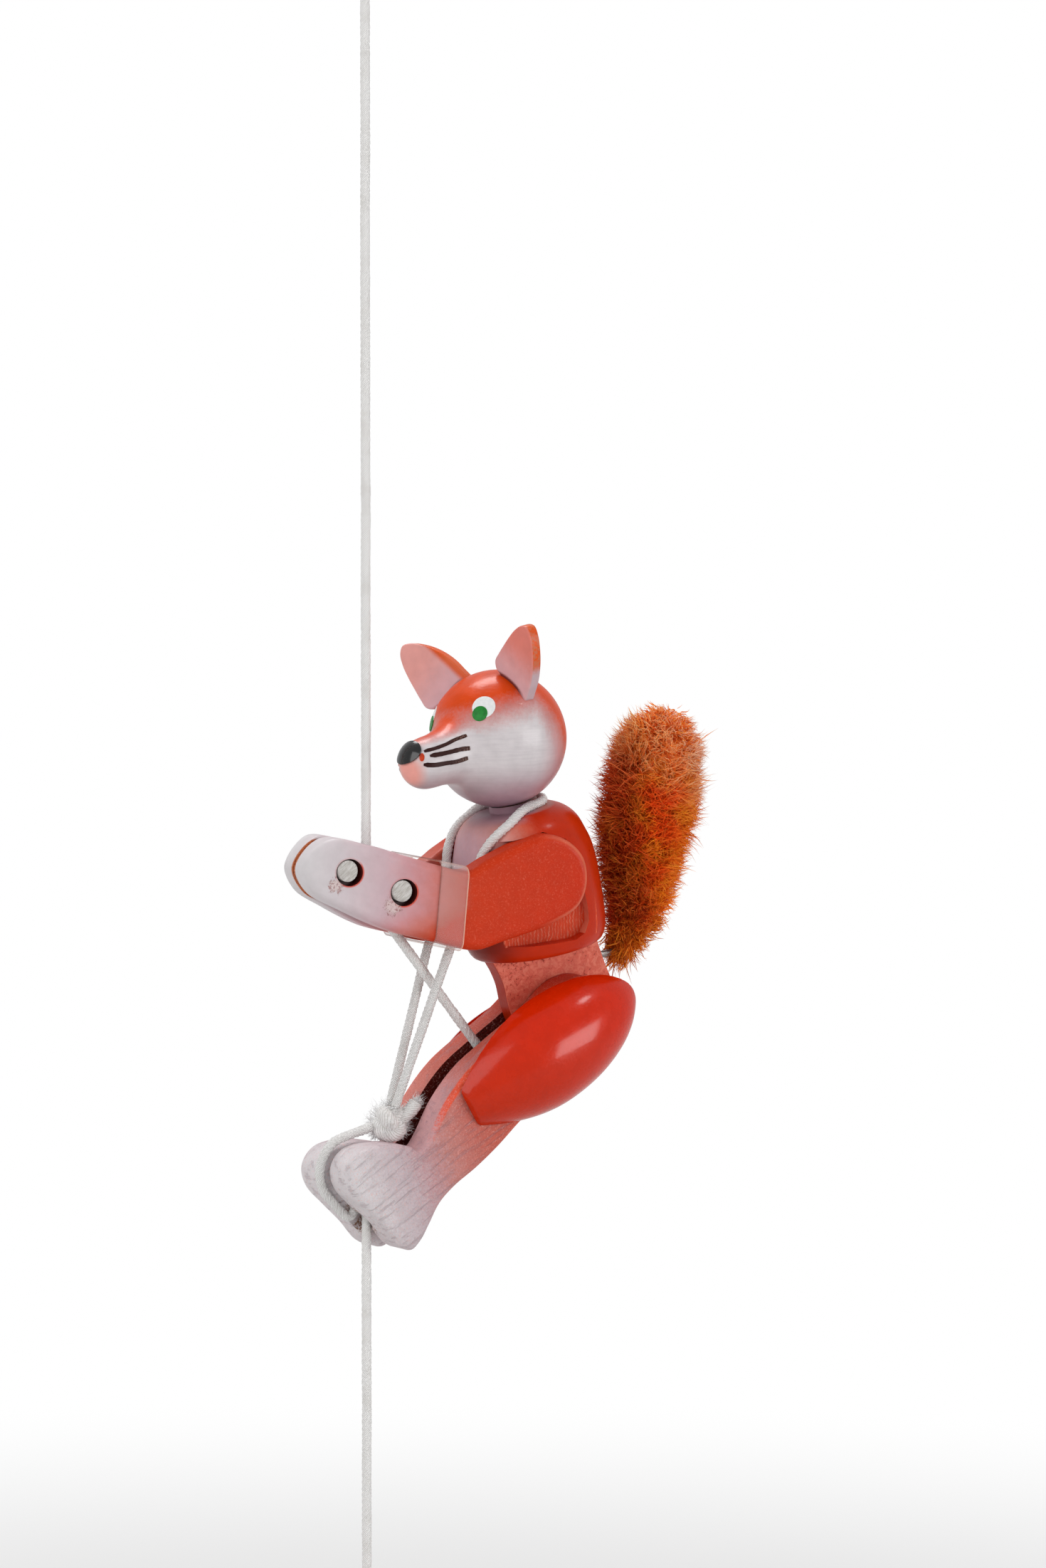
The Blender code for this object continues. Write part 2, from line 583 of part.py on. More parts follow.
tilt = math.atan2(line.z, line.x) - math.asin(wrap / line.length)
bore_dir = Vector((math.cos(tilt), 0, math.sin(tilt)))
bore_off = Vector((-math.sin(tilt), 0, math.cos(tilt))) * (BORE_D / 2 - CORD_R - 0.17)
sole = Vector((SOLE_HOLE[0], 0, SOLE_HOLE[1]))
foot_bore = tool(rod("cut_foot_bore", sole + bore_off - bore_dir * 9.0, sole + bore_off + bore_dir * 22.0,
                     BORE_D / 2, 22, 0))
exit_bore = tool(rod("cut_exit_bore", (0, 0, -9.0), (0, 0, 4.6), CORD_R + 0.2, 20, 0))
leg_pin_half = LEG_OUT - 2.2
leg_pin_bore = tool(rod("cut_leg_pin_bore", (LEG_PIN[0], -leg_pin_half - GAP, LEG_PIN[1]),
                        (LEG_PIN[0], leg_pin_half + GAP, LEG_PIN[1]), LEG_PIN_D / 2 + FIT, 20, 0))
for side, name, inner_round in ((-1, "leg_left", 1.5), (1, "leg_right", 2.3)):
    pts = [Vector(p) for p in LEG_OUTLINE]
    if side > 0:
        for i in TOE:
            pts[i] = pts[i] + Vector(FAR_TOE)
    outline = thin(smooth(pts, 8, True), OUTLINE_SLACK, 8.0, True)
    leg = plate(name, outline, SEAM_HALF, LEG_OUT, inner_round, 1.9,
                lambda x, t, z, side=side: (x, side * t, z), rgb=WOOD_ORANGE, pivot=HIP_PIVOT)
    for cutter in (slot_cut, foot_bore, exit_bore, hip_bore, leg_pin_bore):
        cut(leg, cutter)
rod("leg_cord_pin", (LEG_PIN[0], -leg_pin_half, LEG_PIN[1]), (LEG_PIN[0], leg_pin_half, LEG_PIN[1]),
    LEG_PIN_D / 2, 20, 0.3, rgb=(0.6, 0.6, 0.6), pivot=HIP_PIVOT)
rod("hip_axle", (HIP[0], -HIP_AXLE_HALF, HIP[1]), (HIP[0], HIP_AXLE_HALF, HIP[1]), HIP_AXLE_D / 2, 24, 0.4,
    rgb=WOOD_RAW, pivot=HIP_PIVOT)

# thighs: turned barrels, sliced off their axis so that they lie flat on the legs
# half section, in parts of the length and of the greatest radius
THIGH = [(0.020, 0.523), (0.079, 0.629), (0.150, 0.746), (0.235, 0.860), (0.308, 0.936), (0.385, 0.985),
         (0.456, 1.0), (0.548, 0.989), (0.639, 0.943), (0.730, 0.856), (0.811, 0.739), (0.880, 0.591),
         (0.933, 0.432), (0.972, 0.280)]
thigh_axis = Vector((math.cos(THIGH_RISE), 0, math.sin(THIGH_RISE)))
thigh_up = Vector((-math.sin(THIGH_RISE), 0, math.cos(THIGH_RISE)))
thigh_foot = (Vector((HIP[0], 0, HIP[1])) - thigh_axis * THIGH_HIP_AT * THIGH_LENGTH
              - thigh_up * THIGH_HIP_ABOVE)
thigh_profile = [(0.0, 0.0), (0.0, THIGH_R * 0.462), (0.35, THIGH_R * 0.492)]
thigh_profile += [(s * THIGH_LENGTH, r * THIGH_R) for s, r in THIGH]
thigh_profile += [(THIGH_LENGTH - 0.35, 1.7), (THIGH_LENGTH, 0.0)]
for side, name, drop in ((-1, "thigh_left", 0.0), (1, "thigh_right", FAR_THIGH_DROP)):
    base = thigh_foot + Vector((0, side * (LEG_OUT - THIGH_SINK), -drop))
    thigh = revolve(name, base, thigh_axis, thigh_profile, 36, rgb=WOOD_ORANGE, pivot=HIP_PIVOT)
    slab = tool(mesh_object("cut_slab_" + name, *loft([
        [(0, side * y, 0), (90, side * y, 0), (90, side * y, 80), (0, side * y, 80)]
        for y in (LEG_OUT + GAP, -30.0)])))
    cut(thigh, slab)
    cut(thigh, hip_bore)

# middle stretch of the cord: under the rear hand pin, round the leg pin and down through the feet
REAR_WRAP = REAR_PIN[0]
d = Vector((LEG_PIN[0] - REAR_PIN[0], LEG_PIN[1] - REAR_PIN[1]))
phi = math.acos(-(wrap + REAR_WRAP) / d.length) + math.atan2(d.y, d.x)
n2 = Vector((math.cos(phi), math.sin(phi)))
start_a = math.pi
end_a = phi + math.pi
middle = []
for k in range(1, 5):
    a = start_a + (end_a - start_a) * k / 4
    middle.append((REAR_PIN[0] + REAR_WRAP * math.cos(a), 0, REAR_PIN[1] + REAR_WRAP * math.sin(a)))
middle[0:0] = [(0.0, 0, REAR_PIN[1] + 0.15)]
a0 = phi
a1 = tilt - math.pi / 2
for k in range(0, 6):
    a = a0 + (a1 - a0) * k / 5
    middle.append((LEG_PIN[0] + wrap * math.cos(a), 0, LEG_PIN[1] + wrap * math.sin(a)))
stop = sole + bore_dir * 6.2
middle.append((stop.x, 0, stop.z))
cord("cord_middle", middle, CORD_D, 5.0, CORD_WHITE, GRIP_PIVOT, per=8)

# elastic: loop round the neck, knot in front of the legs and the tail end into the sole

def on_torso(s, rho, degrees, side):
    """Point at height s on the torso's axis, rho from it, degrees round from the front."""
    a = math.radians(degrees)
    front = Vector((-AXIS.z, 0, AXIS.x))
    return TORSO_BASE + AXIS * s + front * rho * math.cos(a) + Vector((0, side, 0)) * rho * math.sin(a)


groove_r = 5.4 + GAP + ELASTIC_R
groove_s = NECK_GROOVE_S + ELASTIC_R + GAP
knot = Vector((KNOT[0], 0, KNOT[1]))


def strand(side):
    points = [knot + Vector((1.2, side * 1.25, 3.65))]
    points.append(Vector((9.3, side * 2.0, 34.6)))
    points.append(Vector((18.9, side * 4.9, 62.6)))
    points.append(Vector((22.4, side * 6.1, 72.0)))
    for s, rho, y in ((22.3, 17.1, 7.2), (24.9, 16.4, 7.3), (27.6, 15.15, 8.3), (29.6, 13.65, 9.15),
                      (31.4, 11.4, 9.4), (32.7, 9.5, 8.8), (33.15, 7.9, 7.8)):
        points.append(on_torso(s, rho, math.degrees(math.asin(y / rho)), side))
    points.append(on_torso(groove_s, groove_r, 98, side))
    points.append(on_torso(groove_s, groove_r, 125, side))
    points.append(on_torso(groove_s, groove_r, 152, side))
    return points


loop = strand(-1) + [on_torso(groove_s, groove_r, 180, 1)] + list(reversed(strand(1)))
cord("elastic_loop", loop, ELASTIC_D, 5.0, CORD_WHITE, GRIP_PIVOT)
knot_profile = ball_profile(KNOT_R, 1.0, 9)
revolve("elastic_knot", knot - Vector((0.25, 0, 1)).normalized() * KNOT_R, (0.25, 0, 1), knot_profile, 16,
        rgb=CORD_WHITE, pivot=HIP_PIVOT)
cord("elastic_tail", [(1.25, 0, 22.6), (-1.4, 0, 21.9), (-5.0, 0, 21.0), (-8.6, 0, 19.6), (-11.0, 0, 16.6),
                      (-11.9, 0, 12.9), (-11.0, 0, 9.2), (-8.5, 0, 6.2), (-6.4, 0, 4.0), (-5.1, 0, 2.9),
                      (-3.9, 0, 2.9), (-2.9, 0, 3.8), (-1.2, 0, 5.5), (0.6, 0, 7.1)],
     ELASTIC_D, 5.0, CORD_WHITE, HIP_PIVOT)
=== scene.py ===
"""The finish of a wooden climbing fox: lacquered beech, braided cord, elastic and a fur brush.

Points are written in millimetres above the cord hole in the soles, with the cord on x = 0, y = 0,
and turned into the frame's metres by place_of().
"""
import math
import random

import bmesh
import bpy
from mathutils import Matrix, Vector, noise


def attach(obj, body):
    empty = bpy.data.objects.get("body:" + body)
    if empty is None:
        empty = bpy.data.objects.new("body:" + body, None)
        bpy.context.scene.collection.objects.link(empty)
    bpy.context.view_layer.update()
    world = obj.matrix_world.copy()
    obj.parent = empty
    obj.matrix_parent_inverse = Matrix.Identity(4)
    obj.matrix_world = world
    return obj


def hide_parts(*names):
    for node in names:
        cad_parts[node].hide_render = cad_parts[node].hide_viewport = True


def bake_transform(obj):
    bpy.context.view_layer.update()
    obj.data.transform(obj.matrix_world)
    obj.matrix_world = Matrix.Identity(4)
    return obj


bl_info = {
    "name": "Climbing fox dressing",
    "version": (1, 0, 0),
    "blender": (4, 5, 0),
    "location": "3D View > Sidebar > Fox",
    "description": "Dresses the frame of a climbing fox with its paint, cords and brush",
    "category": "Object",
}

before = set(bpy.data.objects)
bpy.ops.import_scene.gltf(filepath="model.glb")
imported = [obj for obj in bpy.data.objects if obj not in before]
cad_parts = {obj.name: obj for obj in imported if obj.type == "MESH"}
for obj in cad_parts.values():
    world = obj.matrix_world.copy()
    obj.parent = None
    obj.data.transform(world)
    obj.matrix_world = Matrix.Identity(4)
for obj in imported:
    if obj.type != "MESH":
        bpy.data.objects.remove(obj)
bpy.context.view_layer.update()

MM = 0.001
LOOP_TOP = 312.0      # height of the hanging loop above the soles

# sizes shared by several pieces, in mm
HEAD_CENTRE = Vector((33.846, 0.0, 108.107))
HEAD_RADIUS = 15.4
FORWARD = Vector((-0.9744, -0.2250, 0.0)).normalized()
NEAR = Vector((0.2200, -0.9531, 0.2079)).normalized()
CROWN = Vector((-0.0468, 0.2026, 0.9781)).normalized()
MUZZLE_AXIS = Vector((-0.9514, -0.2567, -0.1699)).normalized()
TORSO_FOOT = Vector((44.2, 0.0, 60.5))
TORSO_AXIS = Vector((-math.sin(math.radians(11.0)), 0.0, math.cos(math.radians(11.0))))
GAP = 0.3             # air between pieces that turn or lie against each other
SEAM = 0.15           # half of the line between the two arms and between the two legs
ARM_THICK = 6.1
ARM_LEAN = 0.21       # how fast the arms spread from the hands to the shoulders
SINK_SHIFT = 0.35     # how far the counterbores lie off the middle of their pins
LEG_OUT = 10.3
LEG_LEAN = 33.0       # slope of the leg's grain in degrees
THIGH_RISE = 29.7     # slope of the thighs in degrees
THIGH_LONG = 49.3
HIP = (50.0, 45.5)    # x and z of the hip's axle
AXLE_BORE = 2.58
CORD_RADIUS = 1.03
STRANDS = 4           # strands that run each way round a braided cord
LEG_PIN_RADIUS = 1.5
SOLE = (-0.4, 0.3)    # x and z of the cord where it leaves the slot for the soles
FILM_MIDDLE = 14.05   # where the film crosses the foot of the arms, and how it leans
FILM_FOOT = 63.2
FILM_LEAN = 0.0874
DULL_WOOD = (0.62, 0.62, 0.62, 1.0)
HAND_PINS = ((-8.8, 81.3), (3.6, 76.4))
BEAD_HEIGHT = -90.0
BEAD_RADIUS = 8.0


# tools of the trade
def place_of(x, y, z):
    """The frame's metres for a point in mm above the soles."""
    return Vector((x, y, z - LOOP_TOP)) * MM


def linear(code):
    """An sRGB hex colour as linear RGBA."""
    values = [int(code[i:i + 2], 16) / 255 for i in (1, 3, 5)]
    return tuple(v / 12.92 if v <= 0.04045 else ((v + 0.055) / 1.055) ** 2.4 for v in values) + (1.0,)


def chosen(name):
    """One of the user's colours as a hex code."""
    return "#" + "".join("%02X" % round(255 * c) for c in getattr(bpy.context.scene.fox_paint, name))


def feed(tree, made, feeds):
    """Links or sets sockets of a node: a node stands for its first output, a hex code for a colour."""
    for socket, source in feeds.items():
        if isinstance(source, bpy.types.Node):
            source = source.outputs[0]
        if isinstance(source, bpy.types.NodeSocket):
            tree.links.new(source, made.inputs[socket])
        else:
            made.inputs[socket].default_value = linear(source) if isinstance(source, str) else source


def node(tree, kind, feeds=None, stops=(), **settings):
    """Adds a node: feeds go to its sockets, stops to its colour band, settings to its options."""
    made = tree.nodes.new(kind)
    for name, value in settings.items():
        setattr(made, name, value)
    if stops:
        band = made.color_ramp.elements
        while len(band) < len(stops):
            band.new(0.5)
        for element, (at, code) in zip(band, stops):
            element.position = at
            element.color = linear(code)
    feed(tree, made, feeds or {})
    return made


def new_finish(name, constants=None):
    """An empty material with its tree, its shader and the place of each point in mm."""
    finish = bpy.data.materials.new(name)
    finish.use_nodes = True
    tree = finish.node_tree
    tree.nodes.clear()
    shader = node(tree, "ShaderNodeBsdfPrincipled", constants)
    node(tree, "ShaderNodeOutputMaterial", {0: shader})
    at = node(tree, "ShaderNodeTexCoord").outputs["Object"]
    place = node(tree, "ShaderNodeMapping",
                 {0: at, "Location": (0.0, 0.0, LOOP_TOP), "Scale": (1000.0, 1000.0, 1000.0)})
    return finish, tree, shader, place.outputs[0]


def reach(tree, place, start, direction):
    """How many mm a point lies from start along direction."""
    away = node(tree, "ShaderNodeVectorMath", {0: place, 1: tuple(start)}, operation="SUBTRACT")
    dot = node(tree, "ShaderNodeVectorMath", {0: away, 1: tuple(direction)}, operation="DOT_PRODUCT")
    return dot.outputs["Value"]


def gap_to(tree, place, centre):
    """How many mm a point lies from a centre."""
    return node(tree, "ShaderNodeVectorMath", {0: place, 1: tuple(centre)}, operation="DISTANCE").outputs["Value"]


def facing(tree, direction):
    """How far the surface faces a direction."""
    normal = node(tree, "ShaderNodeNewGeometry").outputs["Normal"]
    dot = node(tree, "ShaderNodeVectorMath", {0: normal, 1: direction}, operation="DOT_PRODUCT")
    return dot.outputs["Value"]


def shifted(tree, value, *moves):
    """A distance with the edge of its coat moved by so many mm."""
    for move in moves:
        value = node(tree, "ShaderNodeMath", {0: value, 1: move}, operation="ADD")
    return value


def mask(tree, *steps):
    """Where a coat lies: the product of its steps. A step is a factor, or a value with the low and
    the high between which it goes softly from first to last, 0 to 1 where they aren't given."""
    product = None
    for step in steps:
        if isinstance(step, tuple):
            value, low, high, first, last = step if len(step) == 5 else step + (0.0, 1.0)
            step = node(tree, "ShaderNodeMapRange", {0: value, 1: low, 2: high, 3: first, 4: last},
                        interpolation_type="SMOOTHSTEP")
        product = step if product is None else node(tree, "ShaderNodeMath", {0: product, 1: step},
                                                    operation="MULTIPLY")
    return product


def coats(tree, ground, *layers):
    """Colour coats over a ground: each is a colour and the steps of its mask."""
    for colour, *steps in layers:
        ground = node(tree, "ShaderNodeMix", {0: mask(tree, *steps), 6: ground, 7: colour},
                      data_type="RGBA").outputs[2]
    return ground


def spray(tree, place, scale, detail, roughness, width):
    """Airbrush speckle, and how many mm it moves the edge of a coat."""
    speckle = node(tree, "ShaderNodeTexNoise",
                   {0: place, "Scale": scale, "Detail": detail, "Roughness": roughness})
    drift = node(tree, "ShaderNodeMath", {0: speckle, 1: width, 2: -width / 2}, operation="MULTIPLY_ADD")
    return speckle, drift


def along_grain(tree, place, lean, stretch):
    """The place turned by the lean of the grain in degrees, then stretched along it."""
    leant = node(tree, "ShaderNodeMapping", {0: place, "Rotation": (0.0, math.radians(lean), 0.0)})
    return node(tree, "ShaderNodeMapping", {0: leant, "Scale": stretch})


def lacquer(tree, shader, place, colour, gloss=0.30, coat=0.06, grain=(1.0, 1.0, 0.12), lean=0.0,
            relief=1.0, mottle=0.10, shine=0.11, carved=(), height=None, matt=None):
    """Sprayed nitrocellulose lacquer on beech: a glossy skin with orange peel, through which the
    wood's grain shows as fine lines, with a slightly uneven colour. Carved holds masks with how far
    each stands up, height is a relief in place of peel and grain, matt a mask of dull wood."""
    cloud = node(tree, "ShaderNodeTexNoise", {0: place, "Scale": 0.35, "Detail": 3.0, "Roughness": 0.55})
    shade_of = node(tree, "ShaderNodeMapRange", {0: cloud, 1: 0.3, 2: 0.7, 3: 1.0 - mottle, 4: 1.0 + mottle})
    tint = node(tree, "ShaderNodeVectorMath", {0: colour, "Scale": shade_of}, operation="SCALE")
    if height is None:
        peel = node(tree, "ShaderNodeTexNoise", {0: place, "Scale": 1.4, "Detail": 2.0, "Roughness": 0.5})
        fibre = node(tree, "ShaderNodeTexNoise", {0: along_grain(tree, place, lean, grain),
                                                  "Scale": 2.2, "Detail": 3.0, "Roughness": 0.6})
        height = node(tree, "ShaderNodeMath", {0: fibre, 1: 0.6, 2: peel}, operation="MULTIPLY_ADD")
    for mark, rise in carved:
        height = node(tree, "ShaderNodeMath", {0: mark, 1: rise, 2: height}, operation="MULTIPLY_ADD")
    bump = node(tree, "ShaderNodeBump", {"Strength": 0.5 * relief, "Distance": 0.00008, "Height": height})
    rough = node(tree, "ShaderNodeMapRange", {0: cloud, 1: 0.3, 2: 0.7, 3: gloss - 0.05, 4: gloss + 0.07})
    if matt is not None:
        rough = coats(tree, rough, (DULL_WOOD, matt))
    feed(tree, shader, {"Base Color": tint, "Roughness": rough, "Normal": bump, "IOR": 1.5,
                        "Specular IOR Level": shine, "Coat Weight": coat, "Coat Roughness": 0.14})


# hands
def clear_pick():
    """Leaves edit mode and deselects everything."""
    if bpy.context.object and bpy.context.object.mode != "OBJECT":
        bpy.ops.object.mode_set(mode="OBJECT")
    bpy.ops.object.select_all(action="DESELECT")


def pick(*things):
    """Leaves only these selected, the first one active."""
    clear_pick()
    for thing in things:
        thing.select_set(True)
    bpy.context.view_layer.objects.active = things[0]
    return things[0]


def name_it(thing, name):
    """Names a piece and its mesh."""
    thing.name = name
    thing.data.name = name
    return thing


def settle(thing):
    """Applies place, turn and scale, so that the mesh itself holds the place."""
    pick(thing)
    bpy.ops.object.transform_apply(location=True, rotation=True, scale=True)
    return thing


def finish_modifiers(thing):
    """Applies a piece's modifiers in their order."""
    pick(thing)
    for modifier in list(thing.modifiers):
        bpy.ops.object.modifier_apply(modifier=modifier.name)
    return thing


def shade(thing, degrees=35.0):
    """Smooth shading with flat faces kept flat."""
    pick(thing)
    bpy.ops.object.shade_smooth_by_angle(angle=math.radians(degrees))
    weighted = thing.modifiers.new("Even shading", "WEIGHTED_NORMAL")
    weighted.keep_sharp = True
    return finish_modifiers(thing)


def wear(thing, *finishes):
    """Gives a piece its materials."""
    thing.data.materials.clear()
    for finish in finishes:
        thing.data.materials.append(finish)
    return thing


def dress(thing, finish, body, solid=None):
    """Gives a piece its material, the solid it stands for and the body it rides on."""
    wear(thing, finish)
    if solid:
        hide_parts(solid)
    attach(thing, body)
    return thing


def made_of(name, shape, outward=True):
    """A piece from its finished shape, with its faces turned outwards."""
    if outward:
        bmesh.ops.recalc_face_normals(shape, faces=shape.faces)
    mesh = bpy.data.meshes.new(name)
    shape.to_mesh(mesh)
    shape.free()
    return placed(name, mesh)


def placed(name, mesh):
    """Puts a mesh into the scene as a piece."""
    thing = bpy.data.objects.new(name, mesh)
    bpy.context.scene.collection.objects.link(thing)
    return thing


def face_out(thing):
    """Turns all faces of a closed piece outwards."""
    pick(thing)
    bpy.ops.object.mode_set(mode="EDIT")
    bpy.ops.mesh.select_all(action="SELECT")
    bpy.ops.mesh.normals_make_consistent(inside=False)
    bpy.ops.object.mode_set(mode="OBJECT")
    return thing


def scatter(dice, spread):
    """A random vector."""
    return Vector([dice.gauss(0, spread) for _ in range(3)])


def curve_through(points, per, closed=False):
    """A smooth curve through points, per steps to each stretch."""
    pts = [Vector(p) for p in points]
    count = len(pts)
    out = []
    for i in range(count if closed else count - 1):
        p1, p2 = pts[i], pts[(i + 1) % count]
        p0 = pts[i - 1] if closed or i > 0 else p1 * 2 - p2
        p3 = pts[(i + 2) % count] if closed or i + 2 < count else p2 * 2 - p1
        d1 = max((p1 - p0).length, 1e-6) ** 0.5
        d2 = max((p2 - p1).length, 1e-6) ** 0.5
        d3 = max((p3 - p2).length, 1e-6) ** 0.5
        m1 = ((p1 - p0) / d1 - (p2 - p0) / (d1 + d2) + (p2 - p1) / d2) * d2
        m2 = ((p2 - p1) / d2 - (p3 - p1) / (d2 + d3) + (p3 - p2) / d3) * d2
        for k in range(per):
            t = k / per
            out.append(p1 * (2 * t ** 3 - 3 * t ** 2 + 1) + m1 * (t ** 3 - 2 * t ** 2 + t)
                       + p2 * (3 * t ** 2 - 2 * t ** 3) + m2 * (t ** 3 - t ** 2))
    if not closed:
        out.append(pts[-1].copy())
    return out


def smooth(outline, per, closed=True):
    """A smooth outline through points of a drawing."""
    return [(p.x, p.y) for p in curve_through([(x, z, 0.0) for x, z in outline], per, closed)]


def even_steps(points, step):
    """Points at even distances along a polyline."""
    runs = [0.0]
    for a, b in zip(points, points[1:]):
        runs.append(runs[-1] + (b - a).length)
    count = max(3, round(runs[-1] / step))
    out, j = [], 0
    for k in range(count + 1):
        want = runs[-1] * k / count
        while j < len(runs) - 2 and runs[j + 1] < want:
            j += 1
        span = runs[j + 1] - runs[j]
        out.append(points[j].lerp(points[j + 1], 0.0 if span == 0 else (want - runs[j]) / span))
    return out


def turn_to(axis, up):
    """A turn that takes Z to axis and Y near to up."""
    w = Vector(axis).normalized()
    u = Vector(up).cross(w).normalized()
    return Matrix((u, w.cross(u), w)).transposed()


def turned(name, base, axis, up, half_section, steps=96, closed=False):
    """A piece from the lathe: a half section in mm, spun round its axis, then put in its place."""
    mesh = bpy.data.meshes.new(name)
    points = [(r * MM, 0.0, s * MM) for s, r in half_section]
    edges = [(i, i + 1) for i in range(len(points) - 1)]
    if closed:
        edges.append((len(points) - 1, 0))
    mesh.from_pydata(points, edges, [])
    thing = pick(placed(name, mesh))
    bpy.ops.object.mode_set(mode="EDIT")
    bpy.ops.mesh.select_all(action="SELECT")
    bpy.ops.mesh.spin(steps=steps, angle=2 * math.pi, center=(0, 0, 0), axis=(0, 0, 1))
    bpy.ops.mesh.select_all(action="SELECT")
    bpy.ops.mesh.remove_doubles(threshold=1e-6)
    face_out(thing)
    thing.matrix_world = Matrix.Translation(place_of(*base)) @ turn_to(axis, up).to_4x4()
    return settle(thing)


def sawn(name, outline, thick, inner_edge, outer_edge, lay, segments=5):
    """A piece sawn from a board: its outline is filled, extruded and its edges are rounded over;
    lay puts a point of outline and thickness in its place."""
    clear_pick()
    bpy.ops.mesh.primitive_circle_add(vertices=len(outline), radius=0.01, fill_type="NGON")
    thing = name_it(bpy.context.object, name)
    for vertex, (x, z) in zip(thing.data.vertices, outline):
        vertex.co = (x * MM, z * MM, 0.0)
    bpy.ops.object.mode_set(mode="EDIT")
    bpy.ops.mesh.select_all(action="SELECT")
    bpy.ops.mesh.extrude_region_move(TRANSFORM_OT_translate={"value": (0, 0, thick * MM)})
    face_out(thing)
    for level, width in ((0.0, inner_edge), (thick * MM, outer_edge)):
        if not width:
            continue
        mesh = bmesh.new()
        mesh.from_mesh(thing.data)
        for edge in mesh.edges:
            edge.select = False
        for face in mesh.faces:
            face.select = False
        for edge in mesh.edges:
            if all(abs(v.co.z - level) < 1e-7 for v in edge.verts):
                edge.select = True
        mesh.select_mode = {"EDGE"}
        mesh.select_flush_mode()
        mesh.to_mesh(thing.data)
        mesh.free()
        bpy.ops.object.mode_set(mode="EDIT")
        bpy.ops.mesh.select_mode(type="EDGE")
        bpy.ops.mesh.bevel(offset=width * MM, segments=segments, profile=0.5, affect="EDGES")
        bpy.ops.object.mode_set(mode="OBJECT")
    for vertex in thing.data.vertices:
        vertex.co = place_of(*lay(vertex.co.x / MM, vertex.co.z / MM, vertex.co.y / MM))
    return settle(face_out(thing))


def drill(start, end, radius, sides=40):
    """A round bit from start to end, in mm."""
    clear_pick()
    a, b = place_of(*start), place_of(*end)
    bpy.ops.mesh.primitive_cylinder_add(vertices=sides, radius=radius * MM, depth=(b - a).length)
    bit = bpy.context.object
    up = (0, 0, 1) if abs((b - a).y) > 1e-5 else (0, 1, 0)
    bit.matrix_world = Matrix.Translation((a + b) / 2) @ turn_to(b - a, up).to_4x4()
    return settle(bit)


def cut(thing, tool, how="DIFFERENCE"):
    """Cuts or joins with another piece, which is used up."""
    modifier = thing.modifiers.new("Cut", "BOOLEAN")
    modifier.operation = how
    modifier.solver = "EXACT"
    modifier.object = tool
    finish_modifiers(thing)
    bpy.data.objects.remove(tool, do_unlink=True)
    return thing


def arm_inner(x):
    """How far from the middle an arm's inner face lies."""
    return 0.8 + ARM_LEAN * (x + 12.0)


# routes and outlines, in mm
ARM_OUTLINE = [(-18.5, 82.0), (-12.5, 88.3), (-3.7, 86.9), (5.3, 84.0), (13.0, 81.6), (19.0, 80.3), (24.4, 82.9),
               (32.9, 86.7), (37.3, 87.9), (42.4, 86.1), (45.8, 82.2), (46.5, 76.4), (44.5, 71.4), (38.8, 67.8),
               (27.4, 64.1), (21.6, 62.4), (17.7, 62.8), (11.5, 64.6), (1.9, 67.3), (-8.6, 72.2), (-16.0, 76.6)]
LEG_OUTLINE = [(8.4, 18.0), (6.1, 18.9), (1.8, 19.6), (-3.1, 19.5), (-7.1, 18.3), (-9.5, 15.7), (-10.1, 12.8),
               (-8.8, 9.3), (-4.8, 5.2), (-0.4, 1.0), (3.6, -3.4), (6.4, -4.4), (8.8, -2.4), (11.0, 1.2),
               (13.6, 5.6), (17.4, 9.2), (23.0, 13.0), (28.6, 17.4), (35.5, 23.6), (46.0, 31.2), (55.0, 37.6),
               (58.9, 44.0), (57.6, 50.4), (52.0, 54.3), (45.2, 53.2), (36.6, 46.2), (28.1, 40.4),
               (20.8, 35.0), (14.7, 27.9), (10.6, 20.6)]
FAR_TOE = (-1.6, -0.4)
TONGUE_OUTLINE = [(29.8, 63.0), (31.0, 58.6), (32.8, 55.6), (34.2, 52.6), (35.6, 47.3), (38.4, 41.6), (43.6, 37.6),
                  (50.2, 36.2), (56.6, 38.2), (60.6, 42.6), (62.2, 47.6), (62.2, 52.1), (60.4, 56.4), (59.0, 60.0),
                  (56.0, 67.0), (44.0, 70.0)]
POCKET_OUTLINE = [(8.0, 62.0), (34.0, 62.4), (44.9, 63.7), (47.4, 65.0), (48.6, 67.6), (48.4, 70.6),
                  (47.4, 74.6), (46.9, 79.0), (46.3, 82.5), (43.1, 86.3), (37.6, 88.1), (31.0, 86.2), (8.0, 83.6)]
EAR_THICK = 2.8
FAR_EAR_SHIFT = (-1.0, 0.55, 1.1)
FAR_EAR_TURN = 14.0
EAR_LEAF = [(-2.6, -3.0), (-3.8, 0.1), (-5.7, 0.8), (-6.7, 2.4), (-6.2, 4.8), (-5.4, 7.4), (-4.4, 10.4), (-3.2, 13.2),
            (-1.6, 15.4), (0.2, 16.1), (1.9, 14.9), (3.6, 12.3), (4.9, 9.2), (5.7, 5.4), (5.7, 1.6), (4.8, -3.0)]
TORSO_SECTION = [(2.6, 15.8), (4.9, 16.15), (12.3, 16.4), (19.0, 16.25), (22.5, 15.75), (25.4, 14.85),
                 (27.9, 13.9), (29.7, 12.6), (31.1, 10.9), (32.0, 9.0)]
MUZZLE_SECTION = [(10.6, 11.0), (11.8, 9.6), (13.0, 8.4), (14.6, 7.3), (16.6, 6.5), (19.6, 5.95), (22.8, 5.8),
                  (25.0, 5.5), (26.5, 4.85), (27.7, 3.8), (28.5, 2.5), (28.95, 1.2), (29.1, 0.0)]
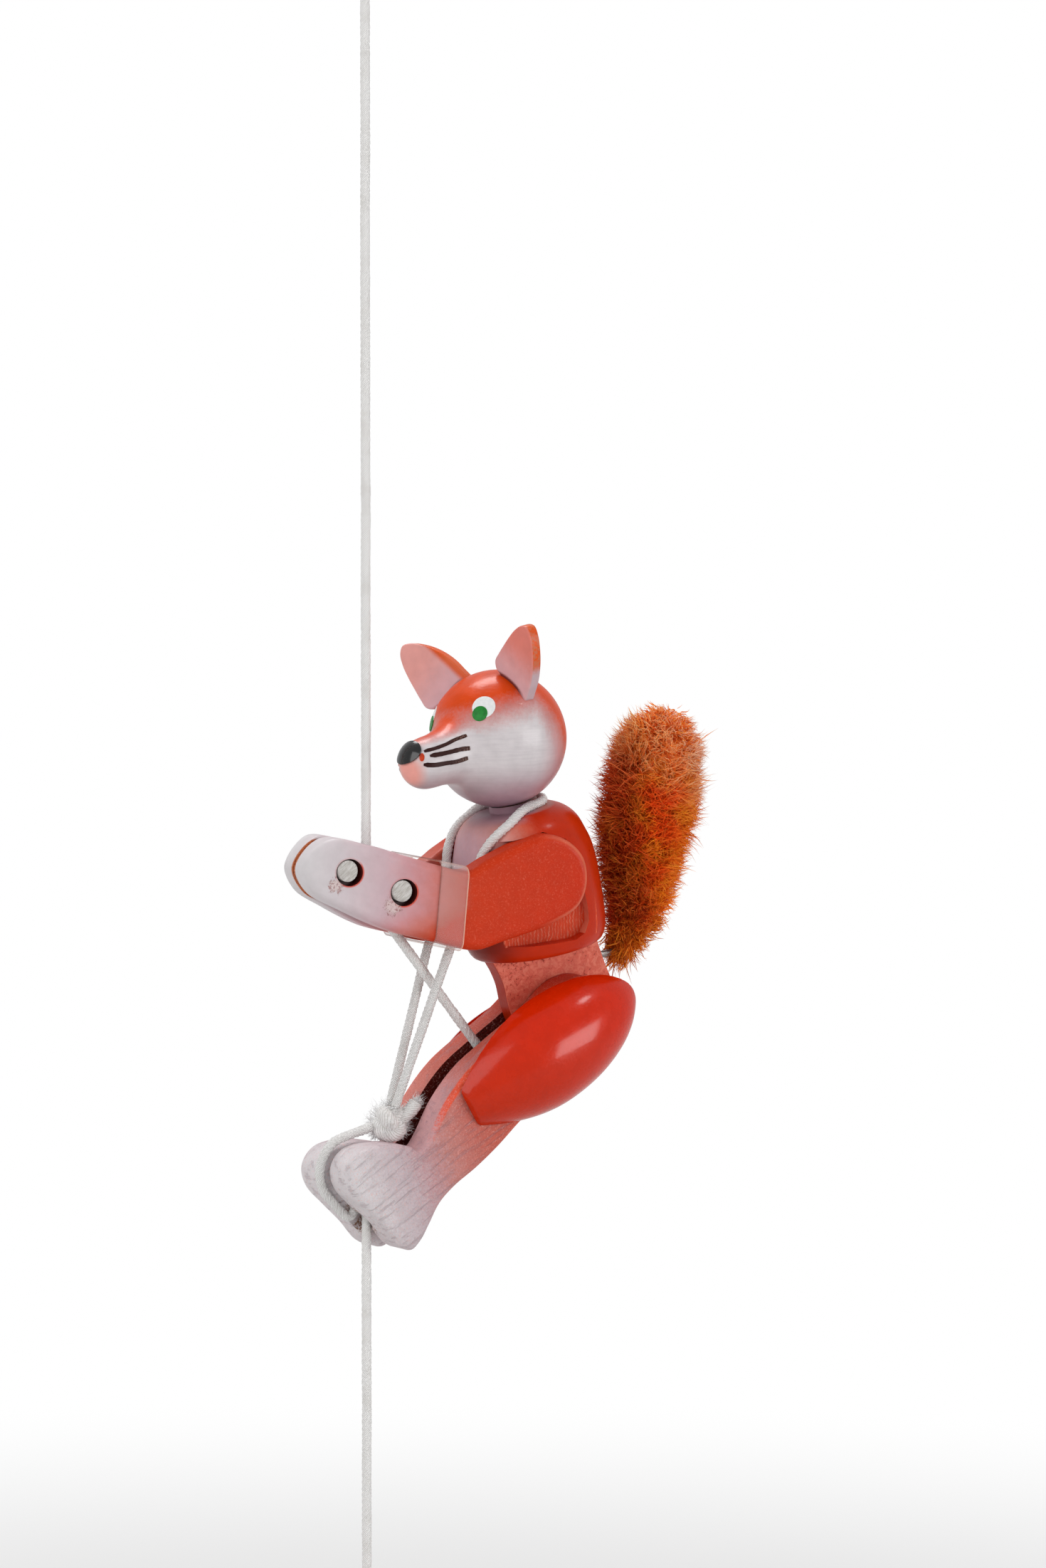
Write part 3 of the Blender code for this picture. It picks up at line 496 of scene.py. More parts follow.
THIGH_SECTION = [(1.0, 6.9), (3.9, 8.3), (7.4, 9.85), (11.6, 11.35), (15.2, 12.35), (19.0, 13.0), (22.5, 13.2),
                 (27.0, 13.05), (31.5, 12.45), (36.0, 11.3), (40.0, 9.75), (43.4, 7.8), (46.0, 5.7), (47.9, 3.7),
                 (49.0, 1.7), (49.3, 0.0)]
TAIL_STATIONS = [(64.4, 57.2, 1.8), (66.6, 60.4, 4.3), (69.0, 64.6, 6.6), (70.4, 70.4, 8.6), (70.9, 77.5, 10.4),
                 (71.9, 86.0, 11.6), (73.5, 94.0, 12.0), (75.4, 101.4, 11.2), (77.1, 106.6, 9.2),
                 (78.3, 109.6, 5.6), (78.7, 111.0, 2.4)]


def on_torso(s, rho, degrees, side):
    """The point at height s on the torso's axis, rho from it, degrees round from its front."""
    a = math.radians(degrees)
    front = Vector((-TORSO_AXIS.z, 0.0, TORSO_AXIS.x))
    return (TORSO_FOOT + TORSO_AXIS * s + front * rho * math.cos(a)
            + Vector((0.0, side, 0.0)) * rho * math.sin(a))


KNOT = Vector((5.5, 0.0, 23.2))    # the elastic's knot before the legs


def elastic_strand(side):
    """One side of the elastic, from its knot up the chest and round the neck."""
    points = [KNOT + Vector((1.2, side * 1.25, 3.65)), Vector((9.3, side * 2.0, 34.6)),
              Vector((18.9, side * 4.9, 62.6)), Vector((22.4, side * 6.1, 72.0))]
    for s, rho, y in ((22.3, 17.1, 7.2), (24.9, 16.4, 7.3), (27.6, 15.15, 8.3), (29.6, 13.65, 9.15),
                      (31.4, 11.4, 9.4), (32.7, 9.5, 8.8), (33.15, 7.9, 7.8)):
        points.append(on_torso(s, rho, math.degrees(math.asin(y / rho)), side))
    for degrees in (98, 125, 152):
        points.append(on_torso(33.2, 6.7, degrees, side))
    return points


ELASTIC_LOOP = elastic_strand(-1) + [on_torso(33.2, 6.7, 180, 1)] + list(reversed(elastic_strand(1)))
ELASTIC_TAIL = [(1.25, 0, 22.6), (-1.4, 0, 21.9), (-5.0, 0, 21.0), (-8.6, 0, 19.6), (-11.0, 0, 16.6),
                (-11.9, 0, 12.9), (-11.0, 0, 9.2), (-8.5, 0, 6.2), (-6.4, 0, 4.0), (-5.1, 0, 2.9),
                (-4.1, 0, 2.9), (-3.4, 0, 3.7), (-2.9, 0, 4.9)]


def middle_route():
    """The cord from the rear hand pin round the leg pin and down to the soles."""
    pin, leg, sole = Vector((3.6, 0, 76.4)), Vector((31.1, 0, 31.8)), Vector((SOLE[0], 0, SOLE[1]))
    wrap = LEG_PIN_RADIUS + CORD_RADIUS + 0.1
    line = leg - sole
    tilt = math.atan2(line.z, line.x) - math.asin(wrap / line.length)
    way = leg - pin
    lean = math.acos(-(wrap + pin.x) / way.length) + math.atan2(way.z, way.x)
    points = [Vector((0.0, 0, pin.z + 0.15))]
    for k in range(1, 5):
        a = math.pi + lean * k / 4
        points.append(pin + Vector((math.cos(a), 0, math.sin(a))) * pin.x)
    for k in range(6):
        a = lean + (tilt - math.pi / 2 - lean) * k / 5
        points.append(leg + Vector((math.cos(a), 0, math.sin(a))) * wrap)
    points.append(sole + Vector((math.cos(tilt), 0, math.sin(tilt))) * 6.2)
    return points


def braid(name, route, diameter, ring=0.4, sides=24, lay=6.0, relief=0.15, slack=0.0, seed=1):
    """A braided cord along route: a tube whose skin rises where one strand passes over another.
    Its UV map runs in mm along the cord and once round it. Returns the piece and its path."""
    path = even_steps(curve_through(route, 24), ring)
    if slack:
        shift = Vector((seed * 7.3, 0.0, 0.0))
        for i, p in enumerate(path):
            ease = math.sin(math.pi * i / (len(path) - 1))
            wander = noise.noise_vector(Vector((i * ring * 0.06, 0, 0)) + shift)
            path[i] = p + Vector((wander.x, wander.y, 0.0)) * slack * ease
    mesh = bmesh.new()
    uv = mesh.loops.layers.uv.new("Along the cord")
    rings = []
    side = None
    for i, p in enumerate(path):
        t = (path[min(i + 1, len(path) - 1)] - path[max(i - 1, 0)]).normalized()
        if side is None:
            side = t.cross(Vector((0, 1, 0)) if abs(t.y) < 0.9 else Vector((1, 0, 0)))
        else:
            side = side - t * side.dot(t)
        side.normalize()
        up = t.cross(side)
        s = i * ring
        lump = 1.0 + 0.07 * noise.noise(Vector((s * 0.32, seed * 3.1, 0.0)))
        row = []
        for k in range(sides):
            a = 2 * math.pi * k / sides
            twist = 2 * math.pi * s / lay
            one = 0.5 + 0.5 * math.cos(STRANDS * (a - twist))
            two = 0.5 + 0.5 * math.cos(STRANDS * (a + twist))
            weave = math.cos(STRANDS * a)
            rise = max(one * (0.6 + 0.4 * weave), two * (0.6 - 0.4 * weave))
            r = diameter / 2 * lump * (1.0 - relief + 2 * relief * rise)
            row.append(mesh.verts.new(place_of(*(p + (side * math.cos(a) + up * math.sin(a)) * r))))
        rings.append(row)
    for i, (low, high) in enumerate(zip(rings, rings[1:])):
        for k in range(sides):
            j = (k + 1) % sides
            face = mesh.faces.new((low[k], low[j], high[j], high[k]))
            face.smooth = True
            for loop, (u, v) in zip(face.loops, ((i, k), (i, k + 1), (i + 1, k + 1), (i + 1, k))):
                loop[uv].uv = (u * ring, v / sides)
    for row, at in ((rings[0], path[0]), (rings[-1], path[-1])):
        centre = mesh.verts.new(place_of(*at))
        for k in range(sides):
            face = mesh.faces.new((row[k], row[(k + 1) % sides], centre))
            face.smooth = True
    return made_of(name, mesh), [place_of(*p) for p in path]


def knotted(name, centre, radius, diameter, tilt, seed):
    """A pulled-tight overhand knot: a braided cord on a closed trefoil round centre."""
    points = []
    for k in range(72):
        a = 2 * math.pi * k / 72
        r = 1.0 + 0.5 * math.cos(3 * a)
        points.append(Vector((r * math.cos(2 * a), r * math.sin(2 * a), 0.85 * math.sin(3 * a))))
    scale = (radius - diameter / 2) / 1.5
    turn = Matrix.Rotation(tilt[0], 3, "X") @ Matrix.Rotation(tilt[1], 3, "Y")
    route = [Vector(centre) + turn @ (point * scale) for point in points]
    route.append(route[0].copy())
    return braid(name, route, diameter, sides=14, relief=0.08, seed=seed)[0]


# finishes
def fox_orange_paint():
    """Gloss lacquer on turned beech, orange-red: thighs and bead, darker towards the bottom as painted shade."""
    finish, tree, shader, place = new_finish("Gloss orange lacquer on beech")
    # painted shade: the orange turns darker red towards the bottom, fully so below 20 mm
    colour = coats(tree, "#C62A00", (chosen("body"), (reach(tree, place, (0, 0, 20), (0, 0, 1)), 0.0, 28.0)))
    lacquer(tree, shader, place, colour, gloss=0.26, coat=0.34, grain=(0.16, 1.0, 1.0), lean=THIGH_RISE,
            mottle=0.05, relief=1.5, shine=0.09)
    return finish


def head_paint():
    """Airbrushed lacquer on the turned head: orange crown, back and bridge of the muzzle, pale lilac cheeks with
    faint brush lines, a mauve chin deepened underneath by painted shade and a salmon lip below the nose."""
    finish, tree, shader, place = new_finish("Airbrushed lacquer on the head")
    front = reach(tree, place, HEAD_CENTRE, FORWARD)
    up = reach(tree, place, HEAD_CENTRE, CROWN)
    ahead = reach(tree, place, HEAD_CENTRE, MUZZLE_AXIS)
    _, drift = spray(tree, place, 1.3, 5.0, 0.75, 4.0)
    rows = node(tree, "ShaderNodeMapping", {0: place, "Scale": (0.10, 0.10, 1.6)})
    brushed = node(tree, "ShaderNodeTexNoise", {0: rows, "Scale": 1.2, "Detail": 3.0, "Roughness": 0.6})
    # orange lies above a line along the muzzle and behind one round the back of the head
    above = shifted(tree, reach(tree, place, HEAD_CENTRE, CROWN + MUZZLE_AXIS * 0.1737), -5.4,
                    mask(tree, (ahead, 13.0, 17.0, 0.0, 0.8)))
    above = mask(tree, above, (ahead, 12.0, 16.0, 1.0, 3.4))
    behind = shifted(tree, reach(tree, place, HEAD_CENTRE, CROWN * 0.54 - FORWARD * 0.84), -2.6)
    behind = node(tree, "ShaderNodeMath", {0: behind, 1: mask(tree, (up, -9.0, 1.0, 0.0, 12.0))},
                  operation="MINIMUM")
    orange = shifted(tree, node(tree, "ShaderNodeMath", {0: above, 1: behind}, operation="MAXIMUM"), drift)
    lip = gap_to(tree, place, HEAD_CENTRE + MUZZLE_AXIS * 28.8 - CROWN * 0.7)
    colour = coats(tree, "#DAD3D4",
                   ("#D2CACC", (brushed, 0.35, 0.75)),
                   # under the chin and the muzzle the mauve deepens: partly the paint's mauve, partly painted shade
                   # underneath
                   ("#A98693", (up, -15.5, -6.0, 1.0, 0.0)),
                   ("#C2868A", (front, -7.5, 2.0, 0.9, 0.0)),
                   ("#A8898E", (up, -9.0, -5.5, 0.55, 0.0), (front, 13.0, 17.0)),
                   ("#F4A89C", (lip, 2.0, 5.4, 1.0, 0.0)),
                   ("#CE908C", (orange, -3.8, 1.6)),
                   ("#DE4600", (orange, 0.0, 5.2)))
    lacquer(tree, shader, place, colour, gloss=0.34, coat=0.20, grain=(0.12, 0.12, 1.3), relief=1.1,
            mottle=0.05, shine=0.09)
    return finish


def ear_paint(side):
    """Airbrushed lacquer on sawn plywood: pink blade, orange edge and back."""
    near = side > 0
    finish, tree, shader, place = new_finish("Airbrushed lacquer on the %s ear" % ("left" if near else "right"))
    root, blade, _, face = ear_frame(side)
    thick = reach(tree, place, root, face)
    out = reach(tree, place, root, NEAR)
    speckle, drift = spray(tree, place, 1.2, 4.0, 0.7, 3.0)
    high = shifted(tree, reach(tree, place, root, blade), drift)
    low_pink, high_pink = ("#DAB0B4", "#E28072") if near else ("#DEB6BC", "#EAA49C")
    dark_edge, low_edge = ("#D2704C", "#CBB0B6") if near else ("#DC5A24", "#E0683C")
    orange = coats(tree, "#E4540E", (dark_edge, (speckle, 0.42, 0.56)))
    colour = coats(tree, low_pink,
                   (high_pink, (high, 0.0, 12.0)),
                   ("#D86A52", (out, -6.5, -2.5, 0.6 if near else 0.0, 0.0)))
    edge = coats(tree, low_edge, (orange, (high, 6.0, 9.0)))
    # a dark red-brown line round the root, where the ear meets the head: glue, and painted shade in the joint
    seam = gap_to(tree, place, HEAD_CENTRE)
    colour = coats(tree, colour,
                   (edge, (thick, 0.8, 1.15, 1.0, 0.0)),
                   ("#6A1A10", (seam, HEAD_RADIUS + 0.35, HEAD_RADIUS + 1.15, 0.95, 0.0), (out, 2.0, 4.5, 1.0, 0.0)))
    lacquer(tree, shader, place, colour, gloss=0.45, coat=0.1, grain=(1.0, 1.0, 0.2), relief=0.7, mottle=0.05)
    return finish


def torso_paint():
    """Airbrushed lacquer on the turned body: lilac chest, pink flank, orange-red back; the milled flats keep the
    cutter's chatter, with a painted highlight on the pocket's back wall; the foot of the body is dark at the front,
    sprayed so and with the arm's shadow painted in, and the tongue is rough end grain in salmon."""
    finish, tree, shader, place = new_finish("Airbrushed lacquer on the body")
    x, y, z = node(tree, "ShaderNodeSeparateXYZ", {0: place}).outputs
    wide = node(tree, "ShaderNodeMath", {0: y}, operation="ABSOLUTE")
    speckle, drift = spray(tree, place, 1.1, 4.0, 0.7, 3.0)
    back = shifted(tree, reach(tree, place, (30.0, 0, 80.0), (0.93, 0.0, 0.12)), drift)
    rear = reach(tree, place, (44.0, 0, 75.0), (0.93, 0.36, 0.0))
    rim = reach(tree, place, TORSO_FOOT, TORSO_AXIS)
    # the flats lie a gap inside the arms, above the foot of the body
    flats = node(tree, "ShaderNodeMath", {0: x, 1: ARM_LEAN, 2: arm_inner(0.0) - GAP},
                 operation="MULTIPLY_ADD")
    inside = node(tree, "ShaderNodeMath", {0: wide, 1: flats}, operation="SUBTRACT")
    inside = node(tree, "ShaderNodeMath", {0: inside}, operation="ABSOLUTE")
    above_foot = reach(tree, place, (34.0, 0.0, 62.4), (-0.12, 0.0, 0.99))
    flat = mask(tree, (inside, 0.05, 0.35, 1.0, 0.0), (z, 68.0, 74.0, 1.0, 0.0), (above_foot, -0.1, 0.2))
    ridges = node(tree, "ShaderNodeTexWave",
                  {0: place, "Scale": 0.42, "Distortion": 9.0, "Detail": 3.0, "Detail Scale": 0.5,
                   "Detail Roughness": 0.75}, wave_type="BANDS", bands_direction="X").outputs["Fac"]
    chatter = mask(tree, flat, (ridges, 0.45, 0.95), (speckle, 0.40, 0.58, 0.15, 1.0))
    tongue = mask(tree, (wide, 2.25, 2.6, 1.0, 0.0), (rim, -0.4, 0.1, 1.0, 0.0))
    face = mask(tree, tongue, (wide, 1.85, 2.05))
    pits = node(tree, "ShaderNodeTexNoise",
                {0: place, "Scale": 0.85, "Detail": 6.0, "Roughness": 0.74, "Distortion": 0.8})
    fewer = mask(tree, (reach(tree, place, (38.0, 0.0, 58.0), (-0.35, 0.0, 0.94)), -9.0, 1.0, 0.0, 0.07))
    depth = node(tree, "ShaderNodeMath", {0: pits, 1: fewer}, operation="SUBTRACT")
    pitted = mask(tree, (depth, 0.335, 0.385, 1.0, 0.0))
    # the foot of the body, darkest at the front: sprayed darker, with the arm's shadow painted in as well
    belly_dark_and_shadow = coats(tree, "#7E1C0A", ("#C42C06", (x, 27.0, 34.0)))
    neck = coats(tree, "#A88490", ("#BC7468", (back, 8.0, 13.0)))
    salmon = coats(tree, "#E8705A", ("#F48C74", (pits, 0.45, 0.62)), ("#A03C2C", pitted))
    colour = coats(tree, "#CBA9B4",
                   ("#D49288", (back, -6.0, 1.5)),
                   ("#D0604A", (back, 0.0, 5.0)),
                   ("#B08A92", (rim, 30.2, 32.0), (back, 5.0, 9.0, 1.0, 0.0)),
                   ("#C42C02", (back, 3.5, 8.5)),
                   ("#9A1E02", (rear, 4.0, 12.0, 0.0, 0.8)),
                   (belly_dark_and_shadow, (rim, 6.0, 11.5, 1.0, 0.0)),
                   (neck, (rim, 31.8, 32.3)),
                   ("#E2481C", flat, 0.9),
                   ("#F6957A", chatter, 0.6),
                   # painted highlight: a light line on the pocket's back wall, where it faces forward
                   ("#EC8468", (facing(tree, (-1.0, 0.0, 0.0)), 0.5, 0.8), (x, 44.0, 45.5)),
                   ("#B42806", tongue),
                   (salmon, face))
    lacquer(tree, shader, place, colour, gloss=0.32, coat=0.10, relief=0.9, mottle=0.05,
            carved=((chatter, 2.0), (mask(tree, pitted, face), -2.2)), matt=face)
    return finish


def arm_paint():
    """Satin lacquer on sawn beech: orange-red upper arm with a sponged look and a worn rim lightened by a painted
    highlight, salmon forearm, lilac hand; counterbores ringed dark by stain and painted shade, and raw wood where the
    palms meet."""
    finish, tree, shader, place = new_finish("Airbrushed lacquer on the arms")
    x, y, z = node(tree, "ShaderNodeSeparateXYZ", {0: place}).outputs
    wide = node(tree, "ShaderNodeMath", {0: y}, operation="ABSOLUTE")
    inner = node(tree, "ShaderNodeMath", {0: x, 1: ARM_LEAN, 2: arm_inner(0.0)}, operation="MULTIPLY_ADD")
    depth = node(tree, "ShaderNodeMath", {0: wide, 1: inner}, operation="SUBTRACT")
    _, drift = spray(tree, place, 0.5, 4.0, 0.65, 4.0)
    along = shifted(tree, x, drift, mask(tree, (z, 65.0, 73.0, 8.5, 0.0)), mask(tree, (y, 2.0, 5.0, 0.0, -7.0)))
    along = node(tree, "ShaderNodeMapRange", {0: along, 1: -20.0, 2: 46.0})
    bands = node(tree, "ShaderNodeValToRGB", {0: along}, stops=(
        (0.0, "#DAD6D7"), (0.14, "#D8CDD0"), (0.30, "#D2B3B9"), (0.39, "#D2999D"), (0.48, "#D07A72"),
        (0.555, "#C85A46"), (0.60, "#CC3812"), (1.0, "#CA2E0A")))
    sponge = node(tree, "ShaderNodeTexNoise", {0: place, "Scale": 2.6, "Detail": 4.0, "Roughness": 0.75})
    colour = coats(tree, bands,
                   ("#E8735A", (sponge, 0.50, 0.72, 0.0, 0.45), (x, 14.0, 20.0)),
                   # paler salmon on the rounded outer rim towards the shoulder: worn paint and a painted highlight
                   ("#E98467", (depth, 4.3, 5.5), (depth, 5.7, 6.06, 1.0, 0.0), (x, 34.0, 43.0, 0.0, 0.55)))
    flake, ragged = spray(tree, place, 1.6, 5.0, 0.7, 5.0)
    in_face = node(tree, "ShaderNodeCombineXYZ", {0: x, 2: z})
    chips = []
    for (px, pz), (cx, cz), chip in zip(HAND_PINS, ((-2.9, -3.1), (-2.2, -3.3)), (1.5, 1.9)):
        gap = gap_to(tree, in_face, (px + SINK_SHIFT, 0.0, pz - SINK_SHIFT))
        upper_left = reach(tree, in_face, (px, 0.0, pz), (1.0, 0.0, -1.0))
        spot = shifted(tree, gap_to(tree, in_face, (px + cx, 0.0, pz + cz)), ragged)
        chips.append(mask(tree, (spot, chip - 0.25, chip + 0.1, 1.0, 0.0), (depth, 5.6, 5.9)))
        colour = coats(tree, colour,
                       ("#D2432A", (gap, 3.15, 3.5, 0.9, 0.0), (upper_left, 0.0, 2.5, 0.25, 1.0)),
                       # a dark ring at the lip of each counterbore: stain, and painted shade of the gap round the pin
                       ("#30100F", (gap, 3.02, 3.16, 1.0, 0.0), (depth, 5.98, 6.06, 1.0, 0.0)))
    chipped = node(tree, "ShaderNodeMath", {0: chips[0], 1: chips[1]}, operation="MAXIMUM")
    colour = coats(tree, colour,
                   (coats(tree, "#A4706C", ("#E0CCC8", (flake, 0.40, 0.52))), chipped, 0.75),
                   (coats(tree, "#C8703F", ("#93472C", (sponge, 0.4, 0.6))),
                    (wide, 0.65, 0.95, 1.0, 0.0), (x, 2.0, 6.0, 1.0, 0.0)))
    lacquer(tree, shader, place, colour, gloss=0.42, coat=0.03, grain=(0.12, 1.0, 1.0), mottle=0.04,
            carved=((chipped, -3.0),))
    return finish


def leg_paint():
    """Airbrushed lacquer on sawn beech: pale lilac foot with the grain standing up, salmon shin, orange-red towards
    the hip with a painted highlight along the front of the outer edge, painted shade in dark red inside the slot, raw
    splintered cord hole."""
    finish, tree, shader, place = new_finish("Airbrushed lacquer on the legs")
    y = node(tree, "ShaderNodeSeparateXYZ", {0: place}).outputs[1]
    wide = node(tree, "ShaderNodeMath", {0: y}, operation="ABSOLUTE")
    _, drift = spray(tree, place, 2.2, 5.0, 0.8, 22.0)
    way = shifted(tree, reach(tree, place, (-6.0, 0, 10.0), (0.93, 0.0, 0.36)), drift)
    along = node(tree, "ShaderNodeMapRange", {0: way, 1: 0.0, 2: 60.0})
    bands = node(tree, "ShaderNodeValToRGB", {0: along}, stops=(
        (0.0, "#E0DADC"), (0.08, "#D4C9CC"), (0.18, "#CAB8BD"), (0.27, "#C49CA0"), (0.38, "#C8837C"),
        (0.54, "#CC6656"), (1.0, "#CC4426")))
    turn = facing(tree, (-0.78, 0.0, 0.62))
    grain = node(tree, "ShaderNodeTexNoise", {0: along_grain(tree, place, LEG_LEAN, (0.09, 0.4, 1.0)),
                                              "Scale": 1.0, "Detail": 4.0, "Roughness": 0.6})
    lines = mask(tree, (grain, 0.52, 0.68))
    hole = shifted(tree, gap_to(tree, place, (-1.4, 0.0, 2.6)), drift)
    speck = node(tree, "ShaderNodeTexNoise", {0: place, "Scale": 2.4, "Detail": 3.0, "Roughness": 0.8})
    shin = coats(tree, "#D2A4A8", ("#E48C80", (y, -0.5, 0.5)))
    colour = coats(tree, bands,
                   (shin, (turn, 0.35, 0.75), (way, 12.0, 20.0), (way, 24.0, 40.0, 0.75, 0.0)),
                   ("#A78C96", lines, 0.30),
                   # painted highlight: bright orange along the rounded front of the outer edge, where it faces
                   # forward and up
                   ("#F04E20", (wide, 8.5, 9.1), (wide, 10.05, 10.25, 1.0, 0.0), (turn, 0.2, 0.5),
                    (way, 19.0, 27.0), 0.85),
                   # painted shade: dark red inside the slot between the legs
                   ("#5E160C", (wide, 2.42, 2.55, 1.0, 0.0), (way, 12.0, 15.0)),
                   ("#86604A", (hole, 3.2, 4.4, 1.0, 0.0), (wide, 3.1, 3.5, 1.0, 0.0)),
                   ("#E6B0A6", (speck, 0.54, 0.66, 0.0, 0.5)),
                   ("#8E4A48", (speck, 0.34, 0.44, 0.22, 0.0)))
    lacquer(tree, shader, place, colour, gloss=0.5, coat=0.0, grain=(0.12, 1.0, 1.0), lean=LEG_LEAN,
            relief=1.6, mottle=0.05, carved=((lines, -2.4),))
    return finish


def pin_paint():
    """Beech dowel cut with a saw and left bare, greyed by handling: dull, with saw lines."""
    finish, tree, shader, place = new_finish("Bare greyed beech dowel")
    saw = node(tree, "ShaderNodeTexNoise", {0: along_grain(tree, place, 40.0, (0.4, 1.0, 2.6)),
                                            "Scale": 1.3, "Detail": 5.0, "Roughness": 0.7})
    lacquer(tree, shader, place, coats(tree, "#BDB7B0", ("#DEDBD7", (saw, 0.35, 0.65))), gloss=0.7, coat=0.0,
            relief=1.5, mottle=0.05, height=mask(tree, saw, 3.0))
    return finish


def bare_wood():
    """Planed beech without lacquer: dull, straw coloured, fine dark flecks along the grain."""
    finish, tree, shader, place = new_finish("Bare beech")
    run = node(tree, "ShaderNodeMapping", {0: place, "Scale": (1.0, 0.15, 1.0)})
    fleck = node(tree, "ShaderNodeTexNoise", {0: run, "Scale": 1.6, "Detail": 4.0, "Roughness": 0.6})
    lacquer(tree, shader, place, coats(tree, "#B98A5C", ("#D9B285", (fleck, 0.35, 0.65))), gloss=0.6, coat=0.0,
            mottle=0.04)
    return finish


def steel_wire():
    """Drawn mild steel wire, slightly dull: grey metal with faint lines from the die."""
    finish, tree, shader, place = new_finish("Drawn steel wire", {"Metallic": 1.0})
    lines = node(tree, "ShaderNodeTexNoise", {0: place, "Scale": 3.0, "Detail": 3.0})
    rough = node(tree, "ShaderNodeMapRange", {0: lines, 1: 0.3, 2: 0.7, 3: 0.32, 4: 0.48})
    feed(tree, shader, {"Base Color": coats(tree, "#8C8A88", ("#A9A7A4", lines)), "Roughness": rough})
    return finish


def cotton(name, light, dark, fuzz=1.0):
    """Braided cotton: matt, off-white, with yarns 0.4 mm wide and a soft nap."""
    finish, tree, shader, place = new_finish(
        name, {"Roughness": 0.88, "Sheen Weight": 0.35, "Sheen Roughness": 0.5})
    uv = node(tree, "ShaderNodeUVMap", uv_map="Along the cord")
    yarn_at = node(tree, "ShaderNodeMapping",
                   {0: uv, "Scale": (1.0, 9.0, 1.0), "Rotation": (0.0, 0.0, math.radians(36.0))})
    yarn = node(tree, "ShaderNodeTexWave", {0: yarn_at, "Scale": 0.8, "Distortion": 1.6, "Detail": 2.0,
                                            "Detail Scale": 1.5},
                wave_type="BANDS", bands_direction="X").outputs["Fac"]
    nap = node(tree, "ShaderNodeTexNoise", {0: place, "Scale": 3.5, "Detail": 4.0, "Roughness": 0.7})
    soil = node(tree, "ShaderNodeTexNoise", {0: place, "Scale": 0.22, "Detail": 2.0})
    colour = coats(tree, dark, (light, (yarn, 0.0, 0.35)), ("#D8D3CC", (soil, 0.45, 0.75, 0.0, 0.3)))
    height = node(tree, "ShaderNodeMath", {0: yarn, 1: 0.7, 2: nap}, operation="MULTIPLY_ADD")
    bump = node(tree, "ShaderNodeBump", {"Strength": 0.7 * fuzz, "Distance": 0.00015, "Height": height})
    feed(tree, shader, {"Base Color": colour, "Normal": bump})
    return finish


def clear_film():
    """Clear adhesive film wound round the arms: colourless and glossy, seen by its whitish cut edges, a dark reddish
    line along the front one and a painted highlight in pale orange along the rear one, and as a faint veil where it
    bridges from arm to arm."""
    finish, tree, shader, place = new_finish("Clear packing film", {"IOR": 1.46})
    x, _, z = node(tree, "ShaderNodeSeparateXYZ", {0: place}).outputs
    middle = node(tree, "ShaderNodeMath", {0: z, 1: -FILM_LEAN, 2: FILM_LEAN * FILM_FOOT - FILM_MIDDLE},
                  operation="MULTIPLY_ADD")
    across = shifted(tree, x, middle)
    from_middle = node(tree, "ShaderNodeMath", {0: across}, operation="ABSOLUTE")
    level = node(tree, "ShaderNodeMath", {0: facing(tree, (0.0, 0.0, 1.0))}, operation="ABSOLUTE")
    seen = node(tree, "ShaderNodeMath", {0: mask(tree, (level, 0.5, 0.9, 0.10, 0.34)),
                                         1: mask(tree, (from_middle, 2.95, 3.2, 0.0, 0.55))}, operation="MAXIMUM")
    # the cut edges: dark reddish along the front one, and a painted highlight in pale orange along the rear one
    colour = coats(tree, "#EFE2DE",
                   ("#A06A60", (across, -3.2, -2.9, 1.0, 0.0)),
                   ("#F6C8B0", (across, 2.9, 3.2)))
    scuff = node(tree, "ShaderNodeTexNoise", {0: place, "Scale": 0.6, "Detail": 3.0})
    rough = node(tree, "ShaderNodeMapRange", {0: scuff, 1: 0.3, 2: 0.7, 3: 0.06, 4: 0.16})
    feed(tree, shader, {"Base Color": colour, "Roughness": rough, "Alpha": seen})
    return finish


def spot_paint(name, light, dark, gloss=0.28, coat=0.1):
    """Enamel dabbed on by hand: a thick glossy drop with a slightly uneven film."""
    finish, tree, shader, place = new_finish(
        name, {"Roughness": gloss, "Specular IOR Level": 0.2, "Coat Weight": coat, "Coat Roughness": 0.12})
    film = node(tree, "ShaderNodeTexNoise", {0: place, "Scale": 1.2, "Detail": 3.0, "Roughness": 0.6})
    bump = node(tree, "ShaderNodeBump", {"Strength": 0.25, "Distance": 0.00006, "Height": film})
    feed(tree, shader, {"Base Color": coats(tree, light, (dark, (film, 0.35, 0.7))), "Normal": bump})
    return finish


def whisker_paint():
    """Thin dark brown paint from a fine brush: it runs dry towards the cheek."""
    finish, tree, shader, place = new_finish("Brown brush stroke", {"Roughness": 0.5, "Specular IOR Level": 0.15})
    along = node(tree, "ShaderNodeSeparateXYZ", {0: node(tree, "ShaderNodeUVMap", uv_map="Stroke")})
    dry = node(tree, "ShaderNodeTexNoise", {0: place, "Scale": 3.2, "Detail": 3.0, "Roughness": 0.7})
    colour = coats(tree, "#2E0D09", ("#8A6A60", (along, 0.55, 1.0, 0.0, 0.8), (dry, 0.45, 0.62)))
    feed(tree, shader, {"Base Color": colour})
    return finish


